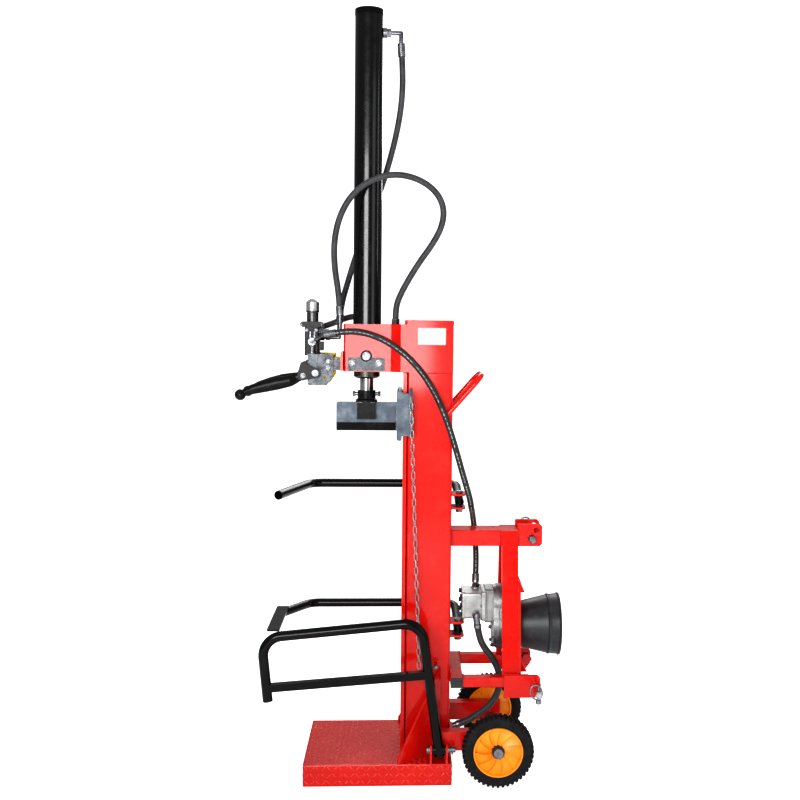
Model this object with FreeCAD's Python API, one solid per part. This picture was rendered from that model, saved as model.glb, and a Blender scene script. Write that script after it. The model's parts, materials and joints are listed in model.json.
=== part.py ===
# Vertical tractor-driven log splitter: a steel column on a checker-plate base, a hydraulic cylinder
# that pushes a blade down the column, a three-point hitch frame with a gearbox and pump, a tipping
# log lifter, two swinging log arms and a pair of transport wheels.
# Millimetres, +Z up. X runs from the operator's side (-X) to the tractor's side (+X).
# The origin is on the ground, below the middle of the whole machine.
import FreeCAD, Part
import math
import os

V = FreeCAD.Vector
X_AXIS, Y_AXIS, Z_AXIS = V(1, 0, 0), V(0, 1, 0), V(0, 0, 1)
FIT = 0.05                      # radial clearance of a running fit

# ---- driving dimensions ----
BASE_FRONT, BASE_REAR = -302.5, 172.5
BASE_HALF, BASE_TOP, BASE_WALL = 191.5, 69.0, 6.0
COLUMN_FRONT, COLUMN_REAR, COLUMN_HALF, COLUMN_WALL = 18.0, 168.0, 75.0, 6.0
COLUMN_TOP, COLUMN_CAP = 1472.0, 14.0
FLANGE_FRONT, FLANGE_HALF = 6.0, 89.0
HEAD_BOTTOM, HEAD_FRONT, HEAD_HALF, HEAD_PLATE = 1317.0, -189.0, 60.0, 10.0
CYLINDER_X, CYLINDER_R, BORE_R = -115.0, 46.0, 40.0
CYLINDER_TOP, GLAND_BOTTOM = 2497.0, 1293.0
ROD_R, ROD_END, PISTON_Z, PISTON_LENGTH = 22.5, 1216.0, 2400.0, 45.0
TRUNNION_Z, TRUNNION_R = 1368.0, 15.0
BLADE_FRONT, BLADE_HALF, BLADE_TOP, BEVEL_Z, EDGE_Z = -214.0, 10.0, 1214.0, 1147.0, 1119.0
SLIDER_FRONT, SLIDER_FACE, SLIDER_REAR, SLIDER_HALF = -14.0, 2.0, 37.0, 107.0
SLIDER_BOTTOM, SLIDER_TOP = 1097.0, 1257.0
WHEEL_X, WHEEL_R, TYRE_INNER, TYRE_OUTER, RIM_R = 319.0, 115.0, 174.5, 221.5, 80.0
AXLE_R, BEAM_OUTER = 10.0, 154.0
BEAM_FRONT, BEAM_REAR, BEAM_HALF, BEAM_BOTTOM, BEAM_TOP = 168.0, 390.0, 42.0, 740.0, 794.0
UPRIGHT_FRONT, RAIL_BOTTOM, RAIL_TOP = 336.0, 298.0, 331.0
HITCH_PIN_X, HITCH_PIN_Z, HITCH_PIN_R, HITCH_PIN_END = 444.0, 306.0, 11.0, 240.0
TOP_PIN_X, TOP_PIN_Z, TOP_PIN_R = 437.0, 766.0, 12.5
PTO_Z, MODULE, DRIVE_TEETH, PUMP_TEETH = 469.0, 2.5, 43, 15
PUMP_Z = PTO_Z + MODULE * (DRIVE_TEETH + PUMP_TEETH) / 2
PUMP_FRONT, PUMP_REAR = 208.0, 284.0
GEARBOX_REAR = UPRIGHT_FRONT + 54.0
ARM_R, ARM_X, ARM_PIVOT_Y, ARM_FAR_Y = 15.0, 194.0, -40.0, 215.0
ARM_STUB, ARM_DROP = 16.0, 20.0
LIFTER_R, LIFTER_WALL, LIFTER_BEND, LIFTER_Y, LIFTER_PIVOT_Z = 16.0, 3.5, 62.0, -180.0, 111.0
VALVE_X, BRACKET_Y, LEVER_PIVOT = -294.0, 73.0, V(-277, 0, 1313)
HOSE_D, SUCTION_D = 20.0, 22.0

LOCK_BOLT_X, LOCK_BOLT_Z, CROSS_BOLT_Z = (-159.0, -72.0), 1345.0, 1241.0
BRACKET_SCREW_Z = (1350, 1330)
# Hose ports, and the ends of the lifting chain.
RETURN_PORT = V(-21, -30, COLUMN_TOP)
TOP_PORT = V(CYLINDER_X + CYLINDER_R, 0, 2423)
LOWER_PORT = V(CYLINDER_X, CYLINDER_R, 1497)
TANK_OUTLET = V(COLUMN_REAR, -40, 132)
PRESSURE_PORT = V(256, 28, 588)
SUCTION_PORT = V(254, -54, 516)
CHAIN_TOP, CHAIN_FOOT = V(31, -114, 1243), V(66, -104, 350)
LATCH_TOP = 504.4                # top face of the bar that the middle arm lays over the lifter
UPPER_ARM_Z, MIDDLE_ARM_Z = 910.0, 484.0

# Routes of the free hoses: the corners of their straight runs.
PRESSURE_HOSE = [V(-212, -85, 1443), V(-165, -94, 1452), V(-85, -101, 1437), V(-5, -104, 1392),
                 V(62, -106, 1326), V(112, -108, 1248), V(150, -107, 1160), V(178, -97, 1072),
                 V(201, -84, 992), V(217, -78, 940), V(230, -58, 895), V(236, -21, 862),
                 V(241, 27, 848), V(247, 66, 816), V(254, 86, 771), V(258, 84, 722),
                 V(259, 60, 676), V(257, 44, 628)]
LOOP_HOSE = [V(-205, -24, 1530), V(-208, -27, 1575), V(-221, -42, 1655), V(-222, -60, 1740),
             V(-203, -74, 1822), V(-163, -82, 1890), V(-100, -84, 1938), V(-25, -84, 1957),
             V(50, -80, 1942), V(108, -74, 1903), V(134, -68, 1850), V(128, -60, 1792),
             V(98, -52, 1735), V(58, -44, 1680), V(22, -37, 1622), V(-8, -32, 1566),
             V(-21, -30, 1526), V(-21, -30, 1490)]
TOP_HOSE = [V(-8, 0, 2347), V(-5, 2, 2300), V(-5, 8, 2235), V(-12, 20, 2165), V(-26, 38, 2093),
            V(-45, 58, 2020), V(-68, 74, 1945), V(-95, 82, 1870), V(-124, 82, 1795),
            V(-150, 73, 1722), V(-171, 60, 1652), V(-188, 46, 1590), V(-200, 32, 1545),
            V(-205, 24, 1503)]
CROSS_HOSE = [V(-262, 50, 1462), V(-232, 62, 1472), V(-197, 72, 1488), V(-163, 76, 1497),
              V(-135, 76, 1497)]
SUCTION_HOSE = [V(256, -72, 490), V(262, -71, 452), V(277, -66, 412), V(308, -56, 372),
                V(332, -50, 325), V(337, -45, 281), V(326, -42, 237), V(300, -40, 200),
                V(264, -40, 175), V(230, -40, 152), V(190, -40, 139)]

saved = []


# ---- helpers ----
def box(x0, x1, y0, y1, z0, z1):
    return Part.makeBox(x1 - x0, y1 - y0, z1 - z0, V(x0, y0, z0))


def rod(radius, start, end):
    axis = end.sub(start)
    return Part.makeCylinder(radius, axis.Length, start, axis)


def ring(outer, inner, start, end):
    return rod(outer, start, end).cut(rod(inner, start, end))


def both_sides(shape):
    return [shape, shape.mirror(V(0, 0, 0), Y_AXIS)]


def fuse(shapes):
    return shapes[0].multiFuse(shapes[1:]).removeSplitter()


def extrude(points, direction):
    return Part.Face(Part.makePolygon(points + points[:1])).extrude(direction)


def plate_xz(outline, y0, y1):
    return extrude([V(x, y0, z) for x, z in outline], V(0, y1 - y0, 0))


def plate_xy(outline, z0, z1):
    return extrude([V(x, y, z0) for x, y in outline], V(0, 0, z1 - z0))


def plate_yz(outline, x0, x1):
    return extrude([V(x0, y, z) for y, z in outline], V(x1 - x0, 0, 0))


def round_edges(shape, radius, chosen):
    return shape.makeFillet(radius, [edge for edge in shape.Edges if chosen(edge)])


def along(edge, axis):
    ends = [vertex.Point for vertex in edge.Vertexes]
    return len(ends) == 2 and abs((ends[1] - ends[0]).normalize().dot(axis)) > 0.999


def revolve(outline, centre, axis, side):
    """Turn an outline of (distance along axis, radius) about the axis through centre."""
    points = [centre + axis * a + side * r for a, r in outline]
    return Part.Face(Part.makePolygon(points + points[:1])).revolve(centre, axis, 360)


def bent_path(points, radius_at):
    """A wire of straight runs joined by tangent arcs, with the arc radius given for each corner."""
    edges, start = [], points[0]
    for i in range(1, len(points) - 1):
        before, after = points[i - 1] - points[i], points[i + 1] - points[i]
        half_turn = (math.pi - before.getAngle(after)) / 2
        radius = radius_at(i, before.Length, after.Length, half_turn)
        reach = radius * math.tan(half_turn)
        u, w = V(before).normalize(), V(after).normalize()
        entry, leave = points[i] + u * reach, points[i] + w * reach
        bisector = (u + w).normalize()
        middle = points[i] + bisector * (radius / math.cos(half_turn) - radius)
        edges.append(Part.LineSegment(start, entry).toShape())
        edges.append(Part.Arc(entry, middle, leave).toShape())
        start = leave
    edges.append(Part.LineSegment(start, points[-1]).toShape())
    return Part.Wire(edges)


def sweep(path, points, radius):
    circle = Part.makeCircle(radius, points[0], points[1] - points[0])
    return path.makePipeShell([Part.Wire(circle)], True, False)


def bent_tube(points, radius, bend, wall=0.0):
    path = bent_path(points, lambda i, before, after, half: bend)
    tube = sweep(path, points, radius)
    return tube.cut(sweep(path, points, radius - wall)) if wall else tube


def hose(name, points, diameter):
    """A free hose: each arc is as large as its two runs allow."""
    radii = []

    def largest(i, before, after, half_turn):
        radii.append(0.45 * min(before, after) / math.tan(half_turn))
        return radii[-1]

    path = bent_path(points, largest)
    tube = sweep(path, points, diameter / 2)
    expected = math.pi * diameter ** 2 / 4 * path.Length
    print(name, "length %.0f" % path.Length, "volume ratio %.4f" % (tube.Volume / expected),
          "radii", [round(r) for r in radii])
    return tube


def hex_head(radius, start, end):
    axis = V(end - start)
    side = axis.cross(Z_AXIS if abs(V(axis).normalize().z) < 0.9 else X_AXIS).normalize()
    corners = [start + FreeCAD.Rotation(axis, 60 * k).multVec(side) * radius for k in range(6)]
    return extrude(corners, axis)


def save(name, shape):
    if isinstance(shape, (list, tuple)):
        shape = Part.makeCompound(list(shape))
    if not shape.isValid():
        print("NOT VALID", name)
    shape.exportStep("parts/" + name + ".step")
    saved.append(name)


# ---- base and column ----
def base_plate():
    tray = box(BASE_FRONT, BASE_REAR, -BASE_HALF, BASE_HALF, 0, BASE_TOP)
    tray = round_edges(tray, 5, lambda e: along(e, Z_AXIS) or (e.BoundBox.ZMin > BASE_TOP - 1))
    inside = BASE_HALF - BASE_WALL
    ceiling = BASE_TOP - BASE_WALL
    return tray.cut(box(BASE_FRONT + BASE_WALL, BASE_REAR - BASE_WALL, -inside, inside, -1, ceiling))


def column_tube():
    outer = box(COLUMN_FRONT, COLUMN_REAR, -COLUMN_HALF, COLUMN_HALF, BASE_TOP, COLUMN_TOP)
    outer = round_edges(outer, 9, lambda e: along(e, Z_AXIS))
    inner = box(COLUMN_FRONT + COLUMN_WALL, COLUMN_REAR - COLUMN_WALL, COLUMN_WALL - COLUMN_HALF,
                COLUMN_HALF - COLUMN_WALL, BASE_TOP + COLUMN_WALL, COLUMN_TOP)
    outlet = rod(9, TANK_OUTLET - V(30, 0, 0), TANK_OUTLET + V(1, 0, 0))
    return outer.cut(inner).cut(outlet)


def column_cap():
    cap = box(10, COLUMN_REAR + 2, -80, 80, COLUMN_TOP, COLUMN_TOP + COLUMN_CAP)
    cap = round_edges(cap, 10, lambda e: along(e, Z_AXIS))
    return round_edges(cap, 2, lambda e: e.BoundBox.ZMin > COLUMN_TOP + COLUMN_CAP - 0.1)


def gusset():
    """A triangular web that runs diagonally from the column's side to the base's edge."""
    foot_column, foot_edge, height, thickness = V(132, -77, BASE_TOP), V(-3, -186, BASE_TOP), 276, 8
    web = extrude([foot_column, foot_edge, foot_edge + V(0, 0, 14), foot_column + V(0, 0, height)],
                  (foot_column - foot_edge).cross(Z_AXIS).normalize() * thickness)
    return web.cut(box(0, COLUMN_REAR, -COLUMN_HALF, 0, BASE_TOP, COLUMN_TOP))


def head_bracket():
    inner = HEAD_HALF - HEAD_PLATE
    sleeve = COLUMN_HALF + HEAD_PLATE
    jog_outer, jog_inner = (-35, -3), (-31.5, 0.5)      # X where the side plates step out to the column
    side = plate_xy([(HEAD_FRONT, -HEAD_HALF), (jog_outer[0], -HEAD_HALF), (jog_outer[1], -sleeve),
                     (COLUMN_REAR, -sleeve), (COLUMN_REAR, -COLUMN_HALF), (jog_inner[1], -COLUMN_HALF),
                     (jog_inner[0], -inner), (HEAD_FRONT, -inner)], HEAD_BOTTOM, COLUMN_TOP)
    front = box(HEAD_FRONT, HEAD_FRONT + HEAD_PLATE, -inner, inner, HEAD_BOTTOM, COLUMN_TOP)
    half_deck = [(HEAD_FRONT + HEAD_PLATE, inner), (jog_inner[0], inner), (jog_inner[1], COLUMN_HALF),
                 (COLUMN_FRONT, COLUMN_HALF)]
    deck = [(x, -y) for x, y in half_deck] + half_deck[::-1]
    decks = [plate_xy(deck, z, z + HEAD_PLATE) for z in (HEAD_BOTTOM, COLUMN_TOP - HEAD_PLATE)]
    valve_plate = box(HEAD_FRONT - 8, HEAD_FRONT, -88, 88, 1320, 1380)
    head = fuse(both_sides(side) + [front] + decks)
    head = round_edges(head, 7, lambda e: along(e, Z_AXIS) and e.BoundBox.XMax < HEAD_FRONT + 0.1)
    head = fuse([head, valve_plate])
    lower, upper = V(CYLINDER_X, 0, HEAD_BOTTOM - 1), V(CYLINDER_X, 0, COLUMN_TOP + 1)
    middle = V(CYLINDER_X, 0, 1400)                     # above it the hole is wider than the cylinder
    head = head.cut(rod(CYLINDER_R + 0.3, lower, middle)).cut(rod(CYLINDER_R + 4.5, middle, upper))
    head = head.cut(rod(TRUNNION_R + 3, V(CYLINDER_X, -70, TRUNNION_Z), V(CYLINDER_X, 70, TRUNNION_Z)))
    for x in LOCK_BOLT_X:
        head = head.cut(rod(6, V(x, -70, LOCK_BOLT_Z), V(x, 70, LOCK_BOLT_Z)))
    return head.cut(rod(9, RETURN_PORT - V(0, 0, 20), RETURN_PORT + V(0, 0, 1)))


# ---- cylinder ----
def cylinder_tube():
    tube = rod(CYLINDER_R, V(CYLINDER_X, 0, HEAD_BOTTOM), V(CYLINDER_X, 0, CYLINDER_TOP - 20))
    collar = rod(CYLINDER_R + 3.5, V(CYLINDER_X, 0, 1341), V(CYLINDER_X, 0, 1396))
    bore = rod(BORE_R, V(CYLINDER_X, 0, HEAD_BOTTOM - 1), V(CYLINDER_X, 0, CYLINDER_TOP))
    tube = tube.fuse(collar).cut(bore)
    for side in (-1, 1):
        seat = V(CYLINDER_X, side * 44, TRUNNION_Z)
        tube = tube.cut(rod(TRUNNION_R, seat, seat + V(0, side * 26, 0)))
    tube = tube.cut(rod(6, TOP_PORT - V(12, 0, 0), TOP_PORT + V(1, 0, 0)))
    return tube.cut(rod(6, LOWER_PORT - V(0, 12, 0), LOWER_PORT + V(0, 1, 0)))


def cylinder_cap():
    cap = rod(CYLINDER_R + 1, V(CYLINDER_X, 0, CYLINDER_TOP - 20), V(CYLINDER_X, 0, CYLINDER_TOP))
    return round_edges(cap, 3, lambda e: e.BoundBox.ZMin > CYLINDER_TOP - 0.1)


def cylinder_gland():
    outline = [(0, 34), (6, 43), (24, 43), (24, BORE_R), (84, BORE_R), (84, ROD_R + FIT), (0, ROD_R + FIT)]
    return revolve(outline, V(CYLINDER_X, 0, GLAND_BOTTOM), Z_AXIS, X_AXIS)


def trunnion_pins():
    y0, y1 = 44, 65
    pin = rod(TRUNNION_R, V(CYLINDER_X, -y0, TRUNNION_Z), V(CYLINDER_X, -y1, TRUNNION_Z))
    pin = pin.makeChamfer(1.5, [e for e in pin.Edges if e.BoundBox.YMax < 1 - y1])
    return both_sides(pin)


def trunnion_bushes():
    inner_end, outer_end = V(CYLINDER_X, -50, TRUNNION_Z), V(CYLINDER_X, -61.5, TRUNNION_Z)
    return both_sides(ring(TRUNNION_R + 3, TRUNNION_R, inner_end, outer_end))


def lock_plate():
    plate = box(-174, -55, -HEAD_HALF - 8, -HEAD_HALF, 1320, 1363)
    plate = round_edges(plate, 5, lambda e: along(e, Y_AXIS))
    plate = plate.cut(rod(TRUNNION_R + 3.2, V(CYLINDER_X, -80, TRUNNION_Z), V(CYLINDER_X, -50, TRUNNION_Z)))
    for x in LOCK_BOLT_X:
        plate = plate.cut(rod(6, V(x, -80, LOCK_BOLT_Z), V(x, -50, LOCK_BOLT_Z)))
    return plate


def cap_screw(radius, under_head, tip):
    """A socket-head screw with a washer; its head stands out from under_head, away from tip."""
    out = (under_head - tip).normalize()
    washer = rod(radius * 1.9, under_head, under_head + out * 2)
    head = rod(radius * 1.5, under_head + out * 2, under_head + out * (2 + 1.4 * radius))
    screw = fuse([rod(radius, tip, under_head), washer, head])
    top = under_head + out * (2 + 1.4 * radius)
    return screw.cut(hex_head(radius * 0.8, top - out * radius * 0.8, top + out))


def socket_screws():
    screws = []
    for x in LOCK_BOLT_X:
        screws += both_sides(cap_screw(6, V(x, -HEAD_HALF - 8, LOCK_BOLT_Z), V(x, -50, LOCK_BOLT_Z)))
    for z in BRACKET_SCREW_Z:
        screws += both_sides(cap_screw(4, V(-236, -BRACKET_Y - 5, z), V(-236, -BRACKET_Y + 8, z)))
    return screws


# ---- ram ----
def ram_rod():
    shaft = rod(ROD_R, V(CYLINDER_X, 0, ROD_END), V(CYLINDER_X, 0, PISTON_Z))
    piston_top = V(CYLINDER_X, 0, PISTON_Z + PISTON_LENGTH)
    stud = rod(14, V(CYLINDER_X, 0, PISTON_Z), piston_top)
    nut = hex_head(20, piston_top, piston_top + V(0, 0, 15))
    return fuse([shaft, stud, nut]).cut(rod(6, V(-170, 0, CROSS_BOLT_Z), V(-60, 0, CROSS_BOLT_Z)))


def piston():
    body = ring(BORE_R - FIT, 14, V(CYLINDER_X, 0, PISTON_Z), V(CYLINDER_X, 0, PISTON_Z + PISTON_LENGTH))
    for z in (PISTON_Z + 10, PISTON_Z + 29):
        body = body.cut(ring(BORE_R + 1, BORE_R - 4, V(CYLINDER_X, 0, z), V(CYLINDER_X, 0, z + 6)))
    return body


def rod_coupling():
    """A collar over the rod's end, flared onto a square block that straddles the blade."""
    outline = [(0, 0), (0, 35.5), (7, 35.5), (12, 29.5), (39, 29.5), (39, ROD_R), (2, ROD_R), (2, 0)]
    collar = revolve(outline, V(CYLINDER_X, 0, BLADE_TOP), Z_AXIS, X_AXIS)
    block = box(CYLINDER_X - 30, CYLINDER_X + 30, -30, 30, 1159, BLADE_TOP)
    slot = box(CYLINDER_X - 31, CYLINDER_X + 31, -BLADE_HALF, BLADE_HALF, 1158, BLADE_TOP)
    return fuse([collar, block.cut(slot)]).cut(rod(6, V(-170, 0, CROSS_BOLT_Z), V(-60, 0, CROSS_BOLT_Z)))


def coupling_bolt():
    head = hex_head(10, V(-153, 0, CROSS_BOLT_Z), V(-161, 0, CROSS_BOLT_Z))
    nut = hex_head(10, V(-77, 0, CROSS_BOLT_Z), V(-69, 0, CROSS_BOLT_Z))
    return fuse([rod(6, V(-153, 0, CROSS_BOLT_Z), V(-77, 0, CROSS_BOLT_Z)), head, nut])


def blade():
    section = [(-BLADE_HALF, BLADE_TOP), (-BLADE_HALF, BEVEL_Z), (-1, EDGE_Z), (1, EDGE_Z),
               (BLADE_HALF, BEVEL_Z), (BLADE_HALF, BLADE_TOP)]
    body = plate_yz(section, BLADE_FRONT, SLIDER_FRONT)
    return round_edges(body, 6, lambda e: along(e, Y_AXIS) and e.BoundBox.ZMin > BLADE_TOP - 1
                       and e.BoundBox.XMax < BLADE_FRONT + 1)


def slider():
    face = box(SLIDER_FRONT, SLIDER_FACE, -SLIDER_HALF, SLIDER_HALF, SLIDER_BOTTOM, SLIDER_TOP)
    face = round_edges(face, 7, lambda e: along(e, Y_AXIS) and e.BoundBox.XMax < SLIDER_FACE - 1)
    sides = both_sides(box(SLIDER_FACE, SLIDER_REAR, -SLIDER_HALF, 12 - SLIDER_HALF, 1112, 1250))
    keepers = both_sides(box(22, SLIDER_REAR, 12 - SLIDER_HALF, -78, 1112, 1250))
    return fuse([face] + sides + keepers)


def slider_pads():
    front = box(SLIDER_FACE, FLANGE_FRONT - FIT, -FLANGE_HALF, -55, 1112, 1250)
    rear = box(COLUMN_FRONT + FIT, 22, -FLANGE_HALF, -78, 1112, 1250)
    return both_sides(front) + both_sides(rear)


def chain_hook():
    """The open hook on the slider's near side that carries the chain's top link."""
    points = [V(31, -SLIDER_HALF, 1262), V(31, -SLIDER_HALF - 7, 1262), V(31, -SLIDER_HALF - 7, 1244)]
    return fuse([bent_tube(points, 2.5, 3), box(26, 36, -SLIDER_HALF, -95, 1250, 1266)])


def chain():
    return rod(4, CHAIN_TOP, CHAIN_FOOT)


# ---- wheels ----
def tyre(side):
    w, shoulder = TYRE_OUTER - TYRE_INNER, 9
    half = [(4, RIM_R), (0, RIM_R + 12), (0, WHEEL_R - shoulder), (3, WHEEL_R - 3), (shoulder, WHEEL_R)]
    outline = half + [(w - a, r) for a, r in half[::-1]]
    return revolve(outline, V(WHEEL_X, side * TYRE_INNER, WHEEL_R), Y_AXIS * side, X_AXIS)


def rim(side):
    """A moulded wheel centre: barrel, web, hub and ten fan ribs on each face."""
    centre, out = V(WHEEL_X, 0, WHEEL_R), Y_AXIS * side
    barrel = ring(RIM_R, RIM_R - 6, centre + out * (TYRE_INNER + 4), centre + out * (TYRE_OUTER - 4))
    web = ring(RIM_R - 5, 20, centre + out * 194, centre + out * 202)
    hub = ring(21, AXLE_R + FIT, centre + out * 171.5, centre + out * 224)
    ribs = []
    for k in range(10):
        rib = box(18, RIM_R - 3, -1.5, 1.5, -18, 18)
        rib.rotate(V(0, 0, 0), X_AXIS, 90)
        rib.translate(V(0, side * 198, 0))
        rib.rotate(V(0, 0, 0), Y_AXIS, 36 * k)
        rib.translate(centre)
        ribs.append(rib)
    return fuse([barrel, web, hub] + ribs)


def axle():
    bar = rod(AXLE_R, V(WHEEL_X, -228, WHEEL_R), V(WHEEL_X, 228, WHEEL_R))
    nuts = both_sides(rod(15, V(WHEEL_X, -224.5, WHEEL_R), V(WHEEL_X, -229, WHEEL_R)))
    spacers = both_sides(rod(15, V(WHEEL_X, -BEAM_OUTER, WHEEL_R), V(WHEEL_X, -171, WHEEL_R)))
    return fuse([bar] + nuts + spacers)


def axle_beam():
    tube = box(120, 352, -BEAM_OUTER, 40 - BEAM_OUTER, 98, 158)
    tube = tube.cut(box(124, 348, 4 - BEAM_OUTER, 36 - BEAM_OUTER, 102, 154))
    foot = box(150, 166, -BEAM_OUTER, 40 - BEAM_OUTER, BASE_TOP, 98)
    bore = rod(AXLE_R, V(WHEEL_X, -180, WHEEL_R), V(WHEEL_X, -100, WHEEL_R))
    web = box(COLUMN_REAR, 176, 40 - BEAM_OUTER, -COLUMN_HALF + 15, 98, 158)
    return fuse([tube, foot, web]).cut(bore)


# ---- hitch frame ----
def hollow_bar(x0, x1, y0, y1, z0, z1, wall, axis):
    grow = {0: (0, wall, wall), 1: (wall, 0, wall), 2: (wall, wall, 0)}[axis]
    inner = box(x0 + grow[0], x1 - grow[0], y0 + grow[1], y1 - grow[1], z0 + grow[2], z1 - grow[2])
    length_axis = (X_AXIS, Y_AXIS, Z_AXIS)[axis]
    outer = round_edges(box(x0, x1, y0, y1, z0, z1), wall - 0.5, lambda e: along(e, length_axis))
    return outer.cut(inner)


def lower_frame():
    cross = hollow_bar(COLUMN_REAR, COLUMN_REAR + 40, -138, 138, RAIL_BOTTOM, RAIL_TOP, 4, 1)
    return [cross] + both_sides(hollow_bar(COLUMN_REAR + 40, 424, -138, -103, RAIL_BOTTOM, RAIL_TOP, 4, 0))


def tube_end_caps():
    return both_sides(box(COLUMN_REAR, COLUMN_REAR + 40, -141, -138, RAIL_BOTTOM, RAIL_TOP))


def hitch_upright():
    """A flat bar that leans out from the beam's end down to the lower rail."""
    top, foot, thick = 54, 126, 12
    bar = plate_yz([(-top, BEAM_TOP), (thick - top, BEAM_TOP), (thick - foot, RAIL_TOP), (-foot, RAIL_TOP)],
                   UPRIGHT_FRONT, BEAM_REAR)
    return bar.cut(box(BEAM_FRONT, BEAM_REAR, -BEAM_HALF, BEAM_HALF, BEAM_BOTTOM, BEAM_TOP))


def top_link_cheek():
    outline = [(BEAM_REAR, 741), (463, 741), (471, 749), (471, 807), (463, 815), (BEAM_REAR, 815)]
    plate = plate_xz(outline, -46, -36)
    plate = plate.cut(rod(TOP_PIN_R + 0.1, V(TOP_PIN_X, -60, TOP_PIN_Z), V(TOP_PIN_X, 0, TOP_PIN_Z)))
    return plate.cut(rod(10, V(452, -60, 794), V(452, 0, 794)))


def top_link_pin():
    shaft = rod(TOP_PIN_R, V(TOP_PIN_X, -66, TOP_PIN_Z), V(TOP_PIN_X, 70, TOP_PIN_Z))
    collar = rod(17, V(TOP_PIN_X, -52, TOP_PIN_Z), V(TOP_PIN_X, -46, TOP_PIN_Z))
    pin = fuse([shaft, collar])
    pin = pin.makeChamfer(2, [e for e in pin.Edges if e.BoundBox.YMax < -65 or e.BoundBox.YMin > 69])
    return pin.cut(rod(4.6, V(TOP_PIN_X, 60, TOP_PIN_Z - 20), V(TOP_PIN_X, 60, TOP_PIN_Z + 20)))


def hitch_plate():
    plate = plate_xz([(341, 267), (441, 267), (459, 290), (459, 340), (341, 340)], -148, -138)
    plate = round_edges(plate, 14, lambda e: along(e, Y_AXIS) and e.BoundBox.XMin > 458)
    return plate.cut(rod(HITCH_PIN_R, V(HITCH_PIN_X, -160, HITCH_PIN_Z), V(HITCH_PIN_X, -120, HITCH_PIN_Z)))


def hitch_pin():
    x = HITCH_PIN_X
    shaft = rod(HITCH_PIN_R, V(x, -126, HITCH_PIN_Z), V(x, -HITCH_PIN_END, HITCH_PIN_Z))
    nut = hex_head(19, V(x, -138, HITCH_PIN_Z), V(x, -126, HITCH_PIN_Z))
    collar = rod(16, V(x, -148, HITCH_PIN_Z), V(x, -152, HITCH_PIN_Z))
    pin = fuse([shaft, nut, collar])
    pin = pin.makeChamfer(3, [e for e in pin.Edges if e.BoundBox.YMax < 1 - HITCH_PIN_END])
    return pin.cut(rod(4.6, V(x, -228, HITCH_PIN_Z - 20), V(x, -228, HITCH_PIN_Z + 20)))


def linch_pin(centre):
    """A straight peg through the hitch pin with its spring ring lying round the pin's end."""
    peg = rod(4.5, centre - V(0, 0, 20), centre + V(0, 0, 24))
    head = rod(7, centre + V(0, 0, 20), centre + V(0, 0, 30))
    loop = Part.makeTorus(20, 2, centre + V(20, 0, 27), Y_AXIS)
    return fuse([peg, head, loop])


def linch_pins():
    pins = [linch_pin(V(TOP_PIN_X, 60, TOP_PIN_Z))]
    for side in (-1, 1):
        pins.append(linch_pin(V(HITCH_PIN_X, side * 228, HITCH_PIN_Z)))
    return pins


# ---- gearbox, pump and drive ----
def lobes(lower_r, upper_r, x0, x1):
    """Two round lobes about the drive shaft and the pump shaft, joined by a waist."""
    low, high = lower_r * 0.98, upper_r * 0.98
    waist = plate_yz([(-low, PTO_Z), (low, PTO_Z), (high, PUMP_Z), (-high, PUMP_Z)], x0, x1)
    return fuse([rod(lower_r, V(x0, 0, PTO_Z), V(x1, 0, PTO_Z)),
                 rod(upper_r, V(x0, 0, PUMP_Z), V(x1, 0, PUMP_Z)), waist])


def gearbox_housing():
    front = fuse([lobes(76, 60, 311, 322), lobes(80, 64, 322, 342), lobes(74, 58, 342, 378)])
    flange = rod(70, V(378, 0, PTO_Z), V(GEARBOX_REAR, 0, PTO_Z))
    adapter = round_edges(box(PUMP_REAR, 311, -46, 46, 484, 596), 8, lambda e: along(e, X_AXIS))
    shell = fuse([front, flange, adapter]).cut(lobes(66, 50, 320, 368))
    shell = shell.cut(rod(26, V(300, 0, PTO_Z), V(400, 0, PTO_Z)))
    return shell.cut(rod(13, V(270, 0, PUMP_Z), V(330, 0, PUMP_Z)))


def gearbox_bearings():
    return [ring(26, 17.5 + FIT, V(311, 0, PTO_Z), V(320, 0, PTO_Z)),
            ring(26, 17.5 + FIT, V(368, 0, PTO_Z), V(384, 0, PTO_Z)),
            ring(13, 10 + FIT, V(288, 0, PUMP_Z), V(300, 0, PUMP_Z))]


def gear(teeth, x0, x1, centre_z, first_angle, bore):
    """A spur gear about the X direction; first_angle is where its first tooth points, from +Z."""
    pitch_r = MODULE * teeth / 2
    base_r = pitch_r * math.cos(math.radians(20))
    tip_r, root_r = pitch_r + 0.92 * MODULE, pitch_r - 1.25 * MODULE

    def involute(radius):
        pressure = math.acos(min(1.0, base_r / radius))
        return math.tan(pressure) - pressure

    half_tooth = math.pi / (2 * teeth) - 0.12 / pitch_r
    flank_start = max(base_r, root_r + 0.1)
    flank = [flank_start + (tip_r - flank_start) * k / 4 for k in range(5)]
    outline = []
    for tooth in range(teeth):
        middle = first_angle + 2 * math.pi * tooth / teeth
        spread = [half_tooth + involute(pitch_r) - involute(r) for r in flank]
        places = [(root_r, middle - spread[0])] + [(r, middle - s) for r, s in zip(flank, spread)]
        places += [(r, middle + s) for r, s in reversed(list(zip(flank, spread)))]
        places += [(root_r, middle + spread[0])]
        outline += [V(x0, r * math.sin(a), centre_z + r * math.cos(a)) for r, a in places]
    hole = rod(bore, V(x0 - 1, 0, centre_z), V(x1 + 1, 0, centre_z))
    return extrude(outline, V(x1 - x0, 0, 0)).cut(hole)


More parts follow.
